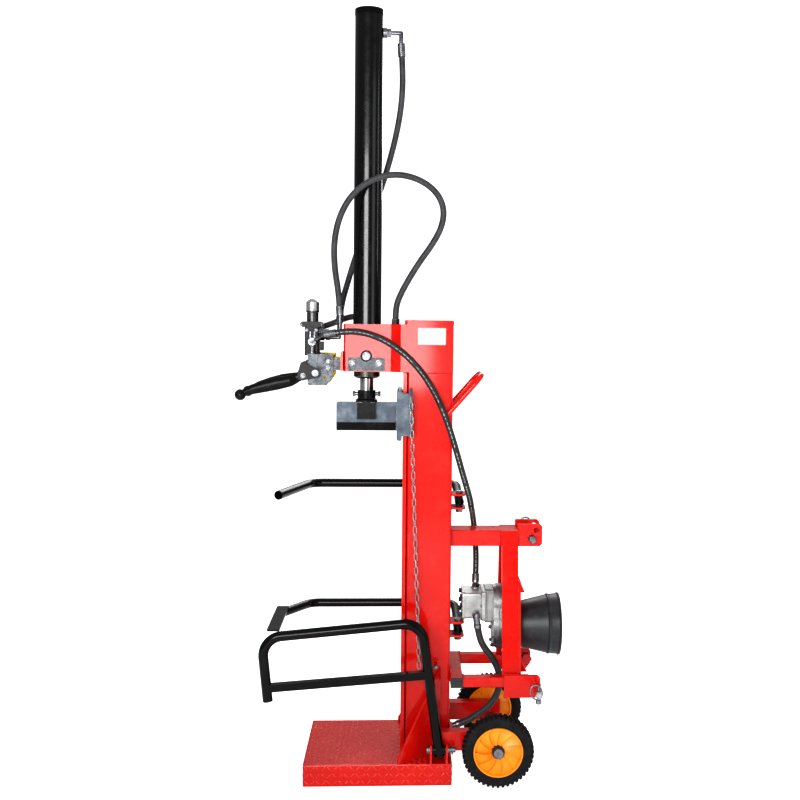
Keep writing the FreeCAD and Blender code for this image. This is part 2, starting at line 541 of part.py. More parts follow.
def pto_shaft():
    """The input shaft: plain in its bearings, six splines on the end that the tractor drives."""
    shaft = fuse([rod(17.5, V(312, 0, PTO_Z), V(400, 0, PTO_Z)),
                  rod(17.4, V(400, 0, PTO_Z), V(478, 0, PTO_Z))])
    for k in range(6):
        groove = box(405, 480, -4.5, 4.5, 14.5, 20)
        groove.rotate(V(0, 0, 0), X_AXIS, 60 * k)
        groove.translate(V(0, 0, PTO_Z))
        shaft = shaft.cut(groove)
    return shaft.cut(ring(19, 15.2, V(455, 0, PTO_Z), V(462, 0, PTO_Z)))


def pump_gear():
    shaft = rod(10, V(286, 0, PUMP_Z), V(356, 0, PUMP_Z))
    return fuse([gear(PUMP_TEETH, 334, 354, PUMP_Z, math.pi + math.pi / PUMP_TEETH, 9.9), shaft])


def pump_body():
    body = box(PUMP_FRONT + 8, PUMP_REAR, -50, 50, 498, 586)
    body = round_edges(body, 9, lambda e: along(e, X_AXIS))
    cover = round_edges(box(PUMP_FRONT, PUMP_FRONT + 8, -53, 53, 495, 589), 12, lambda e: along(e, X_AXIS))
    flange = round_edges(box(PUMP_REAR - 12, PUMP_REAR, -58, 58, 492, 592), 10, lambda e: along(e, X_AXIS))
    ports = [rod(18, PRESSURE_PORT - V(0, 0, 20), PRESSURE_PORT),
             rod(19, SUCTION_PORT + V(0, 20, 0), SUCTION_PORT)]
    return fuse([body, cover, flange] + ports)


def pump_bolts():
    places = [(y, z) for y in (-40, 40) for z in (512, 542, 572)]
    return [hex_head(8, V(PUMP_FRONT - 8, y, z), V(PUMP_FRONT, y, z)) for y, z in places]


def gearbox_plate():
    plate = plate_yz([(-84, 632), (84, 632), (126, 336), (-126, 336)], GEARBOX_REAR, GEARBOX_REAR + 8)
    plate = plate.cut(rod(40, V(380, 0, PTO_Z), V(410, 0, PTO_Z)))
    upper = plate_xz([(398, 628), (398, 591), (414, 591)], -66, -60)
    lower = plate_xz([(398, 383), (398, 337), (420, 337)], -100, -94)
    return fuse([plate] + both_sides(upper) + both_sides(lower))


def pto_guard():
    """A rubber cone round the drive shaft, open at the tractor's end, with a ridge and a lip."""
    outside = [(0, 70), (4, 75), (93, 96), (97, 99.5), (101, 99.5), (105, 98), (129, 100), (132, 103.5),
               (137, 102)]
    inside = [(137, 98), (129, 95.5), (101, 93.5), (93, 92), (6, 71), (4, 44), (0, 44)]
    return revolve(outside + inside, V(GEARBOX_REAR + 8, 0, PTO_Z), X_AXIS, Z_AXIS)


def handle():
    low, high, half = V(150, 0, 1180), V(262, 0, 1308), COLUMN_HALF + 8.5
    side = V(0, half, 0)
    return bent_tube([low - side, high - side, high + side, low + side], 8.5, 38)


# ---- valve, brackets and levers ----
def valve_body():
    body = round_edges(box(VALVE_X - 23, VALVE_X + 23, -32, 32, 1368, 1460), 5, lambda e: along(e, Z_AXIS))
    groove = [box(VALVE_X - 12, VALVE_X + 10, y, y + 6, 1404, 1452) for y in (-34, 28)]
    flange = box(VALVE_X - 32, VALVE_X + 27, -24, 24, 1460, 1478)
    port_block = box(VALVE_X + 23, VALVE_X + 36, -26, 26, 1384, 1412)
    body = fuse([body, flange, port_block])
    for cut in groove:
        body = body.cut(cut)
    return body.cut(rod(6 + FIT, V(VALVE_X, 0, 1360), V(VALVE_X, 0, 1445)))


def valve_cap():
    centre = V(VALVE_X, 0, 1478)
    outline = [(0, 0), (0, 19), (30, 19), (31, 21.5), (64, 21.5), (70, 15), (74, 8), (74, 0)]
    return revolve(outline, centre, Z_AXIS, X_AXIS)


def valve_spool():
    """The spool and the crosshead below it, which both hand levers act on."""
    stem = rod(6, V(VALVE_X, 0, 1326), V(VALVE_X, 0, 1440))
    crosshead = box(VALVE_X - 8, VALVE_X + 8, -62, 62, 1318, 1332)
    return fuse([stem, crosshead])


def valve_bracket():
    outline = [(-303, 1277), (-299, 1273), (-241, 1273), (-221, 1303), (-221, 1374), (-303, 1374)]
    plate = plate_xz(outline, -BRACKET_Y - 5, -BRACKET_Y)
    for x, z, radius in [(LEVER_PIVOT.x, LEVER_PIVOT.z, 7), (-248, 1298, 5), (-236, BRACKET_SCREW_Z[0], 4),
                         (-236, BRACKET_SCREW_Z[1], 4)]:
        plate = plate.cut(rod(radius, V(x, -90, z), V(x, -60, z)))
    deck = box(-303, -225, -BRACKET_Y, BRACKET_Y, 1362, 1368)
    deck = deck.cut(rod(8, V(VALVE_X, 0, 1360), V(VALVE_X, 0, 1370)))
    return fuse(both_sides(plate) + [deck])


def bracket_arm():
    arm = box(-250, HEAD_FRONT - 8, -BRACKET_Y, -BRACKET_Y + 10, 1322, 1361)
    for z in BRACKET_SCREW_Z:
        arm = arm.cut(rod(4, V(-236, -80, z), V(-236, -60, z)))
    return arm


def lever_pins():
    pin = rod(7, V(LEVER_PIVOT.x, -66, LEVER_PIVOT.z), V(LEVER_PIVOT.x, -95, LEVER_PIVOT.z))
    head = rod(11, V(LEVER_PIVOT.x, -91.5, LEVER_PIVOT.z), V(LEVER_PIVOT.x, -96, LEVER_PIVOT.z))
    return both_sides(fuse([pin, head]))


def lever():
    """A forged hand lever: a flat root with its link lug, a thick oval grip and a ball end."""
    y_in, y_out, pivot = -80, -91, LEVER_PIVOT
    root = plate_xz([(-262, 1325), (-277, 1329), (-300, 1338), (-312, 1352), (-324, 1346), (-334, 1312),
                     (-334, 1292), (-318, 1288), (-262, 1302)], y_out, y_in)
    boss = rod(16, V(pivot.x, y_out, pivot.z), V(pivot.x, y_in, pivot.z))
    stations = [(-324, 1302, 9, 5), (-338, 1297, 16, 6), (-347, 1291, 16, 9), (-358, 1287, 18.5, 13),
                (-398, 1279, 21, 15), (-440, 1269, 19.5, 14), (-480, 1258, 16, 12), (-500, 1250, 12, 10),
                (-513, 1243, 11, 9)]
    centres = [V(x, -85.5, z) for x, z, tall, thick in stations]
    rings = []
    for i, (x, z, tall, thick) in enumerate(stations):
        way = centres[min(i + 1, len(centres) - 1)] - centres[max(i - 1, 0)]
        upward = Y_AXIS.cross(way).normalize()
        ellipse = Part.Ellipse(centres[i] + upward * tall, centres[i] + Y_AXIS * thick, centres[i])
        rings.append(Part.Wire(ellipse.toShape()))
    grip = Part.makeLoft(rings, True, True)
    ball = Part.makeSphere(18, V(-517, -85.5, 1241), Y_AXIS)
    drilled = root.fuse(boss).cut(rod(7 + FIT, V(pivot.x, -120, pivot.z), V(pivot.x, -60, pivot.z)))
    return drilled.fuse(grip).fuse(ball)


# ---- log arms and lifter ----
def arm_path(height, reach_y):
    """Centre line of a log arm: from its pivot along the column's back, round and across the front."""
    return [V(ARM_X, ARM_PIVOT_Y - ARM_STUB, height - ARM_DROP), V(ARM_X, ARM_FAR_Y, height),
            V(-313, ARM_FAR_Y, height), V(-398, reach_y, height)]


def pivot_height(height):
    """The back run of an arm slopes down to its pivot; this is its centre's height there."""
    return height - ARM_DROP + ARM_DROP * ARM_STUB / (ARM_FAR_Y - ARM_PIVOT_Y + ARM_STUB)


def log_arm(height, reach_y):
    arm = bent_tube(arm_path(height, reach_y), ARM_R, 55, 3)
    low = pivot_height(height)
    sleeve_a, sleeve_b = V(ARM_X, ARM_PIVOT_Y, low - 18.5), V(ARM_X, ARM_PIVOT_Y, low + 18.5)
    bore = rod(8 + FIT, sleeve_a - V(0, 0, 5), sleeve_b + V(0, 0, 5))
    return fuse([arm, rod(11, sleeve_a, sleeve_b)]).cut(bore)


def latch_plate():
    """The flat bar welded to the middle arm's end; it lies over the lifter's top tube."""
    bar = box(-418, -378, LIFTER_Y - 4, 96, LATCH_TOP - 6, LATCH_TOP)
    return round_edges(bar, 6, lambda e: along(e, Z_AXIS))


def arm_bracket(height):
    low = pivot_height(height)
    outline = [(COLUMN_REAR, -60), (206, -60), (214, -52), (214, 2), (208, 8), (COLUMN_REAR, 8)]
    bore = rod(8, V(ARM_X, ARM_PIVOT_Y, low - 30), V(ARM_X, ARM_PIVOT_Y, low + 30))
    return [plate_xy(outline, z, z + 6).cut(bore) for z in (low - 25, low + 19)]


def arm_bolt(height):
    low = pivot_height(height)
    shank = rod(8, V(ARM_X, ARM_PIVOT_Y, low - 25), V(ARM_X, ARM_PIVOT_Y, low + 25))
    head = hex_head(13, V(ARM_X, ARM_PIVOT_Y, low + 25), V(ARM_X, ARM_PIVOT_Y, low + 34))
    nut = hex_head(13, V(ARM_X, ARM_PIVOT_Y, low - 36), V(ARM_X, ARM_PIVOT_Y, low - 25))
    return fuse([shank, head, nut])


def lifter_frame():
    y = LIFTER_Y
    path = [V(133, y, 92), V(71, y, 525), V(-435, y, 476), V(-414, y, 274)]
    hoop = bent_tube(path, LIFTER_R, LIFTER_BEND)
    bar = plate_xz([(-418, 304), (94, 344), (94, 368), (-418, 328)], y - 12, y + 12)
    sleeve = rod(15, V(109, y, LIFTER_PIVOT_Z), V(152, y, LIFTER_PIVOT_Z))
    inside = bent_tube(path, LIFTER_R - LIFTER_WALL, LIFTER_BEND)
    frame = fuse([hoop, bar]).cut(inside).fuse(sleeve)
    return frame.cut(rod(8 + FIT, V(90, y, LIFTER_PIVOT_Z), V(170, y, LIFTER_PIVOT_Z)))


def lifter_lugs():
    outline = [(-198, BASE_TOP), (-162, BASE_TOP), (-162, 114), (-170, 127), (-190, 127), (-198, 114)]
    bore = rod(8, V(100, LIFTER_Y, LIFTER_PIVOT_Z), V(160, LIFTER_Y, LIFTER_PIVOT_Z))
    return [plate_yz(outline, x, x + 6).cut(bore) for x in (102, 153)]


def lifter_pin():
    shank = rod(8, V(94, LIFTER_Y, LIFTER_PIVOT_Z), V(184, LIFTER_Y, LIFTER_PIVOT_Z))
    head = rod(12, V(92, LIFTER_Y, LIFTER_PIVOT_Z), V(102, LIFTER_Y, LIFTER_PIVOT_Z))
    washer = rod(13, V(159, LIFTER_Y, LIFTER_PIVOT_Z), V(162, LIFTER_Y, LIFTER_PIVOT_Z))
    clip = rod(2.5, V(174, LIFTER_Y, LIFTER_PIVOT_Z - 14), V(174, LIFTER_Y, LIFTER_PIVOT_Z + 14))
    return fuse([shank, head, washer, clip])


def chain_anchor():
    pin = rod(5, V(120, -COLUMN_HALF, 358), V(120, -114, 358))
    return fuse([pin, Part.makeSphere(8.5, V(120, -116, 358))])


# ---- hoses and fittings ----
def ferrule(end, beyond, length, radius):
    """A crimped sleeve that carries on from a hose's end, away from the next point along the hose."""
    out = (end - beyond).normalize()
    sleeve = rod(radius, end, end + out * length)
    return sleeve, end + out * length


def hydraulic_fittings():
    parts = []
    # pressure hose: banjo on the valve's near face, pipe and ferrule
    sleeve, tip = ferrule(PRESSURE_HOSE[0], PRESSURE_HOSE[1], 38, 12)
    banjo = V(VALVE_X + 3, -46, 1413)
    bolt = rod(13, V(banjo.x, -32, banjo.z), V(banjo.x, -58, banjo.z))
    parts.append(fuse([sleeve, rod(6.5, tip, banjo), bolt, Part.makeSphere(6.5, tip)]))
    # pressure hose: ferrule and union on the pump's top
    sleeve, tip = ferrule(PRESSURE_HOSE[-1], PRESSURE_HOSE[-2], 30, 12)
    parts.append(fuse([sleeve, rod(8, tip, PRESSURE_PORT + V(0, 0, 6)), Part.makeSphere(8, tip),
                       hex_head(14, PRESSURE_PORT, PRESSURE_PORT + V(0, 0, 9))]))
    # return hose and cylinder hose: ferrules that bend into the valve's side ports
    for end, before, port_z in ((LOOP_HOSE[0], LOOP_HOSE[1], 1445), (TOP_HOSE[-1], TOP_HOSE[-2], 1426)):
        sleeve, tip = ferrule(end, before, 30, 12)
        low = V(tip.x, tip.y, port_z)
        face = V(VALVE_X + 23, tip.y, port_z)
        parts.append(fuse([sleeve, rod(6.5, tip, low), Part.makeSphere(6.5, low), rod(6.5, low, face),
                           hex_head(12, face, face + V(14, 0, 0)),
                           hex_head(10.5, face + V(20, 0, 0), face + V(32, 0, 0))]))
    # return hose: union on the head's top
    parts.append(hex_head(15, RETURN_PORT, RETURN_PORT + V(0, 0, 18)))
    # cylinder's top port: boss, nut, elbow and ferrule
    sleeve, tip = ferrule(TOP_HOSE[0], TOP_HOSE[1], 42, 12)
    turn = V(tip.x, 0, TOP_PORT.z)
    boss = ring(16, 5, TOP_PORT + V(0.2, 0, 0), TOP_PORT + V(12, 0, 0))
    parts.append(fuse([sleeve, rod(7, tip, turn), Part.makeSphere(7, turn), Part.makeSphere(7, tip),
                       rod(7, TOP_PORT + V(10, 0, 0), turn), boss,
                       hex_head(14, TOP_PORT + V(12, 0, 0), TOP_PORT + V(26, 0, 0))]))
    # cylinder's lower port: boss and elbow behind the cylinder
    corner = LOWER_PORT + V(0, 30, 0)
    boss = ring(16, 5, LOWER_PORT + V(0, 0.2, 0), LOWER_PORT + V(0, 16, 0))
    parts.append(fuse([boss, rod(9, LOWER_PORT + V(0, 14, 0), corner), Part.makeSphere(9, corner),
                       rod(9, corner, CROSS_HOSE[-1]), hex_head(13, corner - V(12, 0, 0), CROSS_HOSE[-1])]))
    # short hose: ferrule and union on the valve's far side
    sleeve, tip = ferrule(CROSS_HOSE[0], CROSS_HOSE[1], 16, 12)
    union = V(VALVE_X, 32, tip.z - 6)
    parts.append(fuse([sleeve, rod(7, tip, union + V(0, 12, 0)), Part.makeSphere(7, tip),
                       rod(12, union, union + V(0, 20, 0))]))
    # suction hose: elbow on the pump, barb on the tank
    sleeve, tip = ferrule(SUCTION_HOSE[0], SUCTION_HOSE[1], 14, 11)
    turn = V(SUCTION_PORT.x, tip.y, SUCTION_PORT.z)
    parts.append(fuse([hex_head(16, SUCTION_PORT, SUCTION_PORT - V(0, 8, 0)), rod(11, SUCTION_PORT, turn),
                       Part.makeSphere(11, turn), rod(11, turn, tip), sleeve]))
    sleeve, tip = ferrule(SUCTION_HOSE[-1], SUCTION_HOSE[-2], 14, 10)
    parts.append(fuse([sleeve, hex_head(16, TANK_OUTLET, TANK_OUTLET + V(11, 0, 0))]))
    return parts


def hose_clamps():
    clamps = []
    for near, far in ((SUCTION_HOSE[0], SUCTION_HOSE[1]), (SUCTION_HOSE[-1], SUCTION_HOSE[-2])):
        out = (far - near).normalize()
        clamps.append(ring(SUCTION_D / 2 + 1.5, SUCTION_D / 2 + 0.02, near + out * 4, near + out * 14))
    return clamps


def main():
    os.makedirs("parts", exist_ok=True)
    save("base_plate", base_plate())
    save("column_tube", column_tube())
    flange = box(FLANGE_FRONT, COLUMN_FRONT, -FLANGE_HALF, FLANGE_HALF, BASE_TOP, HEAD_BOTTOM - 1)
    save("column_flange", flange)
    save("column_cap", column_cap())
    save("base_gussets", both_sides(gusset()))
    save("head_bracket", head_bracket())
    save("cylinder_tube", cylinder_tube())
    save("cylinder_cap", cylinder_cap())
    save("cylinder_gland", cylinder_gland())
    save("trunnion_pins", trunnion_pins() + trunnion_bushes())
    save("lock_plates", both_sides(lock_plate()))
    save("socket_screws", socket_screws())
    save("ram_rod", ram_rod())
    save("piston", piston())
    save("rod_coupling", rod_coupling())
    save("coupling_bolt", coupling_bolt())
    save("splitting_blade", blade())
    save("blade_slider", [slider(), chain_hook()])
    save("slider_pads", slider_pads())
    save("lift_chain", chain())
    for name, side in (("near", -1), ("far", 1)):
        save("tyre_" + name, tyre(side))
        save("rim_" + name, rim(side))
    save("axle", axle())
    save("axle_beams", both_sides(axle_beam()))
    save("lower_frame", lower_frame() + both_sides(hitch_plate()))
    save("tube_end_caps", tube_end_caps())
    beam = hollow_bar(BEAM_FRONT, BEAM_REAR, -BEAM_HALF, BEAM_HALF, BEAM_BOTTOM, BEAM_TOP, 5, 0)
    save("hitch_beam", beam)
    save("hitch_uprights", both_sides(hitch_upright()))
    save("top_link_cheeks", both_sides(top_link_cheek()))
    save("hitch_pins", both_sides(hitch_pin()))
    save("top_link_and_linch_pins", [top_link_pin()] + linch_pins())
    save("gearbox_housing", gearbox_housing())
    save("gearbox_bearings", gearbox_bearings())
    save("gearbox_plate", gearbox_plate())
    save("pto_shaft", pto_shaft())
    save("drive_gear", gear(DRIVE_TEETH, 334, 354, PTO_Z, 0, 17.5))
    save("pump_gear", pump_gear())
    save("pump_body", pump_body())
    save("pump_bolts", pump_bolts())
    save("pto_guard", pto_guard())
    save("carry_handle", handle())
    save("valve_body", valve_body())
    save("valve_cap", valve_cap())
    save("valve_spool", valve_spool())
    save("valve_bracket", [valve_bracket()] + both_sides(bracket_arm()))
    save("lever_near", lever())
    save("lever_far", lever().mirror(V(0, 0, 0), Y_AXIS))
    save("arm_upper", log_arm(UPPER_ARM_Z, -51))
    save("arm_middle", fuse([log_arm(MIDDLE_ARM_Z, 85), latch_plate()]))
    save("pivot_brackets", arm_bracket(UPPER_ARM_Z) + arm_bracket(MIDDLE_ARM_Z) + lifter_lugs())
    pins = [arm_bolt(UPPER_ARM_Z), arm_bolt(MIDDLE_ARM_Z), lifter_pin(), chain_anchor()]
    save("pivot_pins", pins + lever_pins())
    save("lifter_frame", lifter_frame())
    save("hydraulic_fittings", hydraulic_fittings() + hose_clamps())
    save("pressure_hose", hose("pressure_hose", PRESSURE_HOSE, HOSE_D))
    save("return_hose", hose("return_hose", LOOP_HOSE, HOSE_D))
    save("cylinder_hose", hose("cylinder_hose", TOP_HOSE, HOSE_D))
    save("cross_hose", hose("cross_hose", CROSS_HOSE, HOSE_D))
    save("suction_hose", hose("suction_hose", SUCTION_HOSE, SUCTION_D))
    print(len(saved), "nodes")


main()
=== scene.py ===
"""Looks of a vertical log splitter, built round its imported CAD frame. Metres, +Z up, camera side is -Y."""

import json
import math
import random

import bmesh
import bpy
from mathutils import Matrix, Vector


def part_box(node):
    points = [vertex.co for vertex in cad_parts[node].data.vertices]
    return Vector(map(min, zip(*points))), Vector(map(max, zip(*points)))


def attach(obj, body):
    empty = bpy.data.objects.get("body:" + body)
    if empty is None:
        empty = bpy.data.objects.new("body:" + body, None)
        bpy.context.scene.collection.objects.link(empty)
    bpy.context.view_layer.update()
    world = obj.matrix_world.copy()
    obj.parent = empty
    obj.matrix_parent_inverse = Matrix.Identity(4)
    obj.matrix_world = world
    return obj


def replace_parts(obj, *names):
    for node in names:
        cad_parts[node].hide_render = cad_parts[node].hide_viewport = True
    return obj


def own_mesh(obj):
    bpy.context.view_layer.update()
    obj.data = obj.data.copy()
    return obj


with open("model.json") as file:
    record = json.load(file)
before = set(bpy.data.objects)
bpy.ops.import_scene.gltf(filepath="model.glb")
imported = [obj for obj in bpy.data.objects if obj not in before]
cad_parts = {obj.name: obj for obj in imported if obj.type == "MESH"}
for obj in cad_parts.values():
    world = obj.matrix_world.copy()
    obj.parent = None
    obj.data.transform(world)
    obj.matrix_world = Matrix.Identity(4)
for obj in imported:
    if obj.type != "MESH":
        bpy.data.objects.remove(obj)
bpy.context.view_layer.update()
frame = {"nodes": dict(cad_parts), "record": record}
NODES = frame["nodes"]
X, Y, Z = Vector((1, 0, 0)), Vector((0, 1, 0)), Vector((0, 0, 1))


# ---- camera ----
CAMERA_PLACE = (0.0190, -3.5927, 1.5047)
CAMERA_PAN, CAMERA_TILT, CAMERA_ROLL = 0.051297, 0.044594, 0.011285
CAMERA_LENS, CAMERA_SENSOR = 48.73, 36.0
CAMERA_SHIFT = (-0.0787, -0.0457)


def make_camera():
    """A long-ish lens in front of the machine, turned and tilted a little, looking along +Y."""
    ahead, dip = math.cos(CAMERA_TILT), -math.sin(CAMERA_TILT)
    forward = Vector((math.sin(CAMERA_PAN) * ahead, math.cos(CAMERA_PAN) * ahead, dip))
    level = Vector((math.cos(CAMERA_PAN), -math.sin(CAMERA_PAN), 0))
    rise = level.cross(forward)
    right = level * math.cos(CAMERA_ROLL) + rise * math.sin(CAMERA_ROLL)
    up = rise * math.cos(CAMERA_ROLL) - level * math.sin(CAMERA_ROLL)
    data = bpy.data.cameras.new("camera")
    data.sensor_width, data.lens = CAMERA_SENSOR, CAMERA_LENS
    data.shift_x, data.shift_y = CAMERA_SHIFT
    data.clip_end = 60.0
    camera = bpy.data.objects.new("camera", data)
    turn = Matrix((right, up, -forward)).transposed().to_4x4()
    camera.matrix_world = Matrix.Translation(CAMERA_PLACE) @ turn
    bpy.context.scene.collection.objects.link(camera)
    bpy.context.scene.camera = camera


make_camera()


# ---- materials ----
class Finish:
    """A procedural material: a Principled shader fed by noise in the piece's own space."""

    def __init__(self, name, **sockets):
        self.material = bpy.data.materials.new(name)
        self.material.use_nodes = True
        self.tree = self.material.node_tree
        self.shader = self.tree.nodes["Principled BSDF"]
        for socket, value in sockets.items():
            self.shader.inputs[socket.replace("_", " ")].default_value = value
        self.place = self.node("ShaderNodeTexCoord").outputs["Object"]

    def node(self, kind, settings=None, **inputs):
        """A node with its settings, and its inputs set or linked; i0, i6 and so on name inputs by number."""
        made = self.tree.nodes.new(kind)
        for key, value in (settings or {}).items():
            setattr(made, key, value)
        for key, value in inputs.items():
            numbered = key[0] == "i" and key[1:].isdigit()
            socket = made.inputs[int(key[1:]) if numbered else key.replace("_", " ")]
            if isinstance(value, bpy.types.NodeSocket):
                self.tree.links.new(value, socket)
            else:
                socket.default_value = value
        return made

    def link(self, output, socket):
        self.tree.links.new(output, self.shader.inputs[socket])

    def noise(self, scale, detail=3.0, rough=0.5, place=None):
        return self.node("ShaderNodeTexNoise", Vector=place or self.place, Scale=scale, Detail=detail,
                         Roughness=rough).outputs["Fac"]

    def stretch(self, x, y, z):
        return self.node("ShaderNodeMapping", Vector=self.place, Scale=(x, y, z)).outputs["Vector"]

    def ramp(self, factor, *stops):
        made = self.node("ShaderNodeValToRGB", Fac=factor)
        elements = made.color_ramp.elements
        while len(elements) < len(stops):
            elements.new(0.5)
        for element, (position, colour) in zip(elements, stops):
            element.position = position
            element.color = (*colour, 1) if len(colour) == 3 else colour
        return made.outputs["Color"]

    def span(self, factor, low, high, start=0.3, end=0.7):
        return self.node("ShaderNodeMapRange", Value=factor, From_Min=start, From_Max=end, To_Min=low,
                         To_Max=high).outputs["Result"]

    def mix(self, factor, a, b):
        return self.node("ShaderNodeMix", {"data_type": "RGBA"}, i0=factor, i6=a, i7=b).outputs[2]

    def math(self, operation, a, b=0.0):
        return self.node("ShaderNodeMath", {"operation": operation}, i0=a, i1=b).outputs[0]

    def edges(self, radius, low, high):
        """Rounded normals for the edges, and a mask that is 1 on them."""
        soft = self.node("ShaderNodeBevel", {"samples": 4}, Radius=radius).outputs["Normal"]
        plain = self.node("ShaderNodeNewGeometry").outputs["Normal"]
        dot = self.node("ShaderNodeVectorMath", {"operation": "DOT_PRODUCT"}, i0=soft,
                        i1=plain).outputs["Value"]
        return soft, self.node("ShaderNodeMapRange", Value=dot, From_Min=high, From_Max=low, To_Min=0.0,
                               To_Max=1.0).outputs["Result"]

    def relief(self, *layers, normal=None):
        """Bump layers of (height, strength, distance in metres), one over the other."""
        for height, strength, distance in layers:
            made = self.node("ShaderNodeBump", Strength=strength, Distance=distance, Height=height)
            if normal is not None:
                self.tree.links.new(normal, made.inputs["Normal"])
            normal = made.outputs["Normal"]
        self.link(normal, "Normal")


def paint(name, dark, light, worn, rough, coat, shine=0.12):
    """Enamel over steel: slow colour drift, darker towards the ground as painted shade, orange peel, and
    lighter edges that are partly chipped paint and partly a painted highlight.
    """
    f = Finish(name, Coat_Weight=coat, Coat_Roughness=0.08, Specular_IOR_Level=shine)
    drift, patch, grain = f.noise(2.3, 4), f.noise(11, 6, 0.62), f.noise(420, 2)
    soft, edge = f.edges(0.0016, 0.86, 0.995)
    base = f.ramp(drift, (0.3, dark), (0.7, light))
    height = f.node("ShaderNodeSeparateXYZ", Vector=f.place).outputs["Z"]
    # painted shade: the enamel is mixed towards black lower down
    base = f.mix(f.span(height, 0.24, 0.0, 0.0, 0.9), base, (0, 0, 0, 1))
    scuffed = f.mix(f.span(patch, 0.0, 0.10, 0.52, 0.72), base, (*worn, 1))
    # lighter edges: chipped paint, and partly a painted highlight along the edges
    worn_and_highlit_edges = f.math("MULTIPLY", edge, f.span(f.noise(60, 5, 0.7), 0.25, 0.90, 0.40, 0.62))
    f.link(f.mix(worn_and_highlit_edges, scuffed, (*worn, 1)), "Base Color")
    f.link(f.span(f.noise(34, 5, 0.6), rough * 0.75, rough * 1.45), "Roughness")
    f.relief((grain, 0.05, 0.0006), (patch, 0.06, 0.004), normal=soft)
    return f.material


def plated(name, dark, light, rough, spangle, bump, metallic=1.0, far_tint=None, lower=None):
    """Zinc plate or turned steel: flat crystal patches of slightly different grey, and fine scratches."""
    f = Finish(name, Metallic=metallic, Specular_IOR_Level=0.4)
    cells = f.node("ShaderNodeTexVoronoi", Vector=f.place, Scale=spangle).outputs["Color"]
    patch = f.math("ADD", f.math("MULTIPLY", cells, 0.25), f.math("MULTIPLY", f.noise(45, 5, 0.6), 0.85))
    soft, edge = f.edges(0.0008, 0.86, 0.995)
    tone = f.ramp(patch, (0.3, dark), (0.72, light))
    if far_tint:
        across = f.node("ShaderNodeSeparateXYZ", Vector=f.place).outputs["Y"]
        tone = f.mix(f.math("GREATER_THAN", across, 0.06), tone, (*far_tint, 1))
    if lower:
        height = f.node("ShaderNodeSeparateXYZ", Vector=f.place).outputs["Z"]
        tone = f.mix(f.math("LESS_THAN", height, lower), tone, (0.10, 0.10, 0.10, 1))
    f.link(f.mix(f.math("MULTIPLY", edge, 0.5), tone, (0.80, 0.81, 0.83, 1)), "Base Color")
    f.link(f.span(f.noise(120, 4, 0.6), rough * 0.8, rough * 1.35), "Roughness")
    f.relief((f.noise(500, 2, place=f.stretch(1, 0.2, 1)), bump, 0.0005), normal=soft)
    return f.material


def scaled_steel(name, painted_below=None):
    """Hot-rolled steel plate: blue-grey mill scale with paler rubbed patches; the blade's bevel is black."""
    f = Finish(name, Metallic=0.55, Specular_IOR_Level=0.45)
    clouds, fine = f.noise(26, 7, 0.66), f.noise(170, 4, 0.6)
    soft, edge = f.edges(0.0012, 0.86, 0.995)
    tone = f.ramp(clouds, (0.32, (0.035, 0.045, 0.058)), (0.5, (0.085, 0.105, 0.128)),
                  (0.68, (0.19, 0.215, 0.24)))
    tone = f.mix(f.span(fine, 0.0, 0.3, 0.45, 0.7), tone, (0.06, 0.055, 0.05, 1))
    if painted_below:
        height = f.node("ShaderNodeSeparateXYZ", Vector=f.place).outputs["Z"]
        rubbed = f.ramp(clouds, (0.45, (0.005, 0.005, 0.006)), (0.72, (0.03, 0.03, 0.032)))
        tone = f.mix(f.math("LESS_THAN", height, painted_below), tone, rubbed)
    f.link(f.mix(f.math("MULTIPLY", edge, 0.4), tone, (0.42, 0.44, 0.46, 1)), "Base Color")
    f.link(f.span(clouds, 0.33, 0.56), "Roughness")
    f.relief((fine, 0.16, 0.0008), (clouds, 0.10, 0.003), normal=soft)
    return f.material


def black_block():
    """Brushed-on black paint over the coupling, glossy and uneven."""
    f = Finish("coupling_black", Coat_Weight=0.10, Coat_Roughness=0.15, Specular_IOR_Level=0.12)
    runs = f.noise(60, 5, 0.6)
    soft, edge = f.edges(0.0014, 0.86, 0.995)
    tone = f.ramp(runs, (0.35, (0.006, 0.006, 0.007)), (0.7, (0.022, 0.022, 0.024)))
    f.link(f.mix(f.math("MULTIPLY", edge, 0.35), tone, (0.16, 0.16, 0.16, 1)), "Base Color")
    f.link(f.span(runs, 0.22, 0.42), "Roughness")
    f.relief((runs, 0.12, 0.0015), normal=soft)
    return f.material


def cast_metal(name, dark, light, rough, skirt=None):
    """Sand-cast aluminium: pebbled skin, soot in random patches, brighter edges, darker below a given height.
    """
    f = Finish(name, Metallic=0.85, Specular_IOR_Level=0.5)
    cloud, skin = f.noise(18, 5, 0.6), f.noise(300, 3, 0.6)
    soft, edge = f.edges(0.0016, 0.84, 0.995)
    tone = f.ramp(cloud, (0.3, dark), (0.7, light))
    tone = f.mix(f.span(f.noise(70, 5, 0.7), 0.0, 0.45, 0.52, 0.72), tone, (0.11, 0.105, 0.10, 1))
    if skirt:
        height = f.node("ShaderNodeSeparateXYZ", Vector=f.place).outputs["Z"]
        tone = f.mix(f.span(height, 0.8, 0.0, skirt - 0.03, skirt + 0.03), tone, (0.075, 0.075, 0.078, 1))
    f.link(f.mix(f.math("MULTIPLY", edge, 0.55), tone, (0.80, 0.80, 0.79, 1)), "Base Color")
    f.link(f.span(skin, rough * 0.8, rough * 1.2), "Roughness")
    f.relief((skin, 0.35, 0.0012), (cloud, 0.05, 0.004), normal=soft)
    return f.material


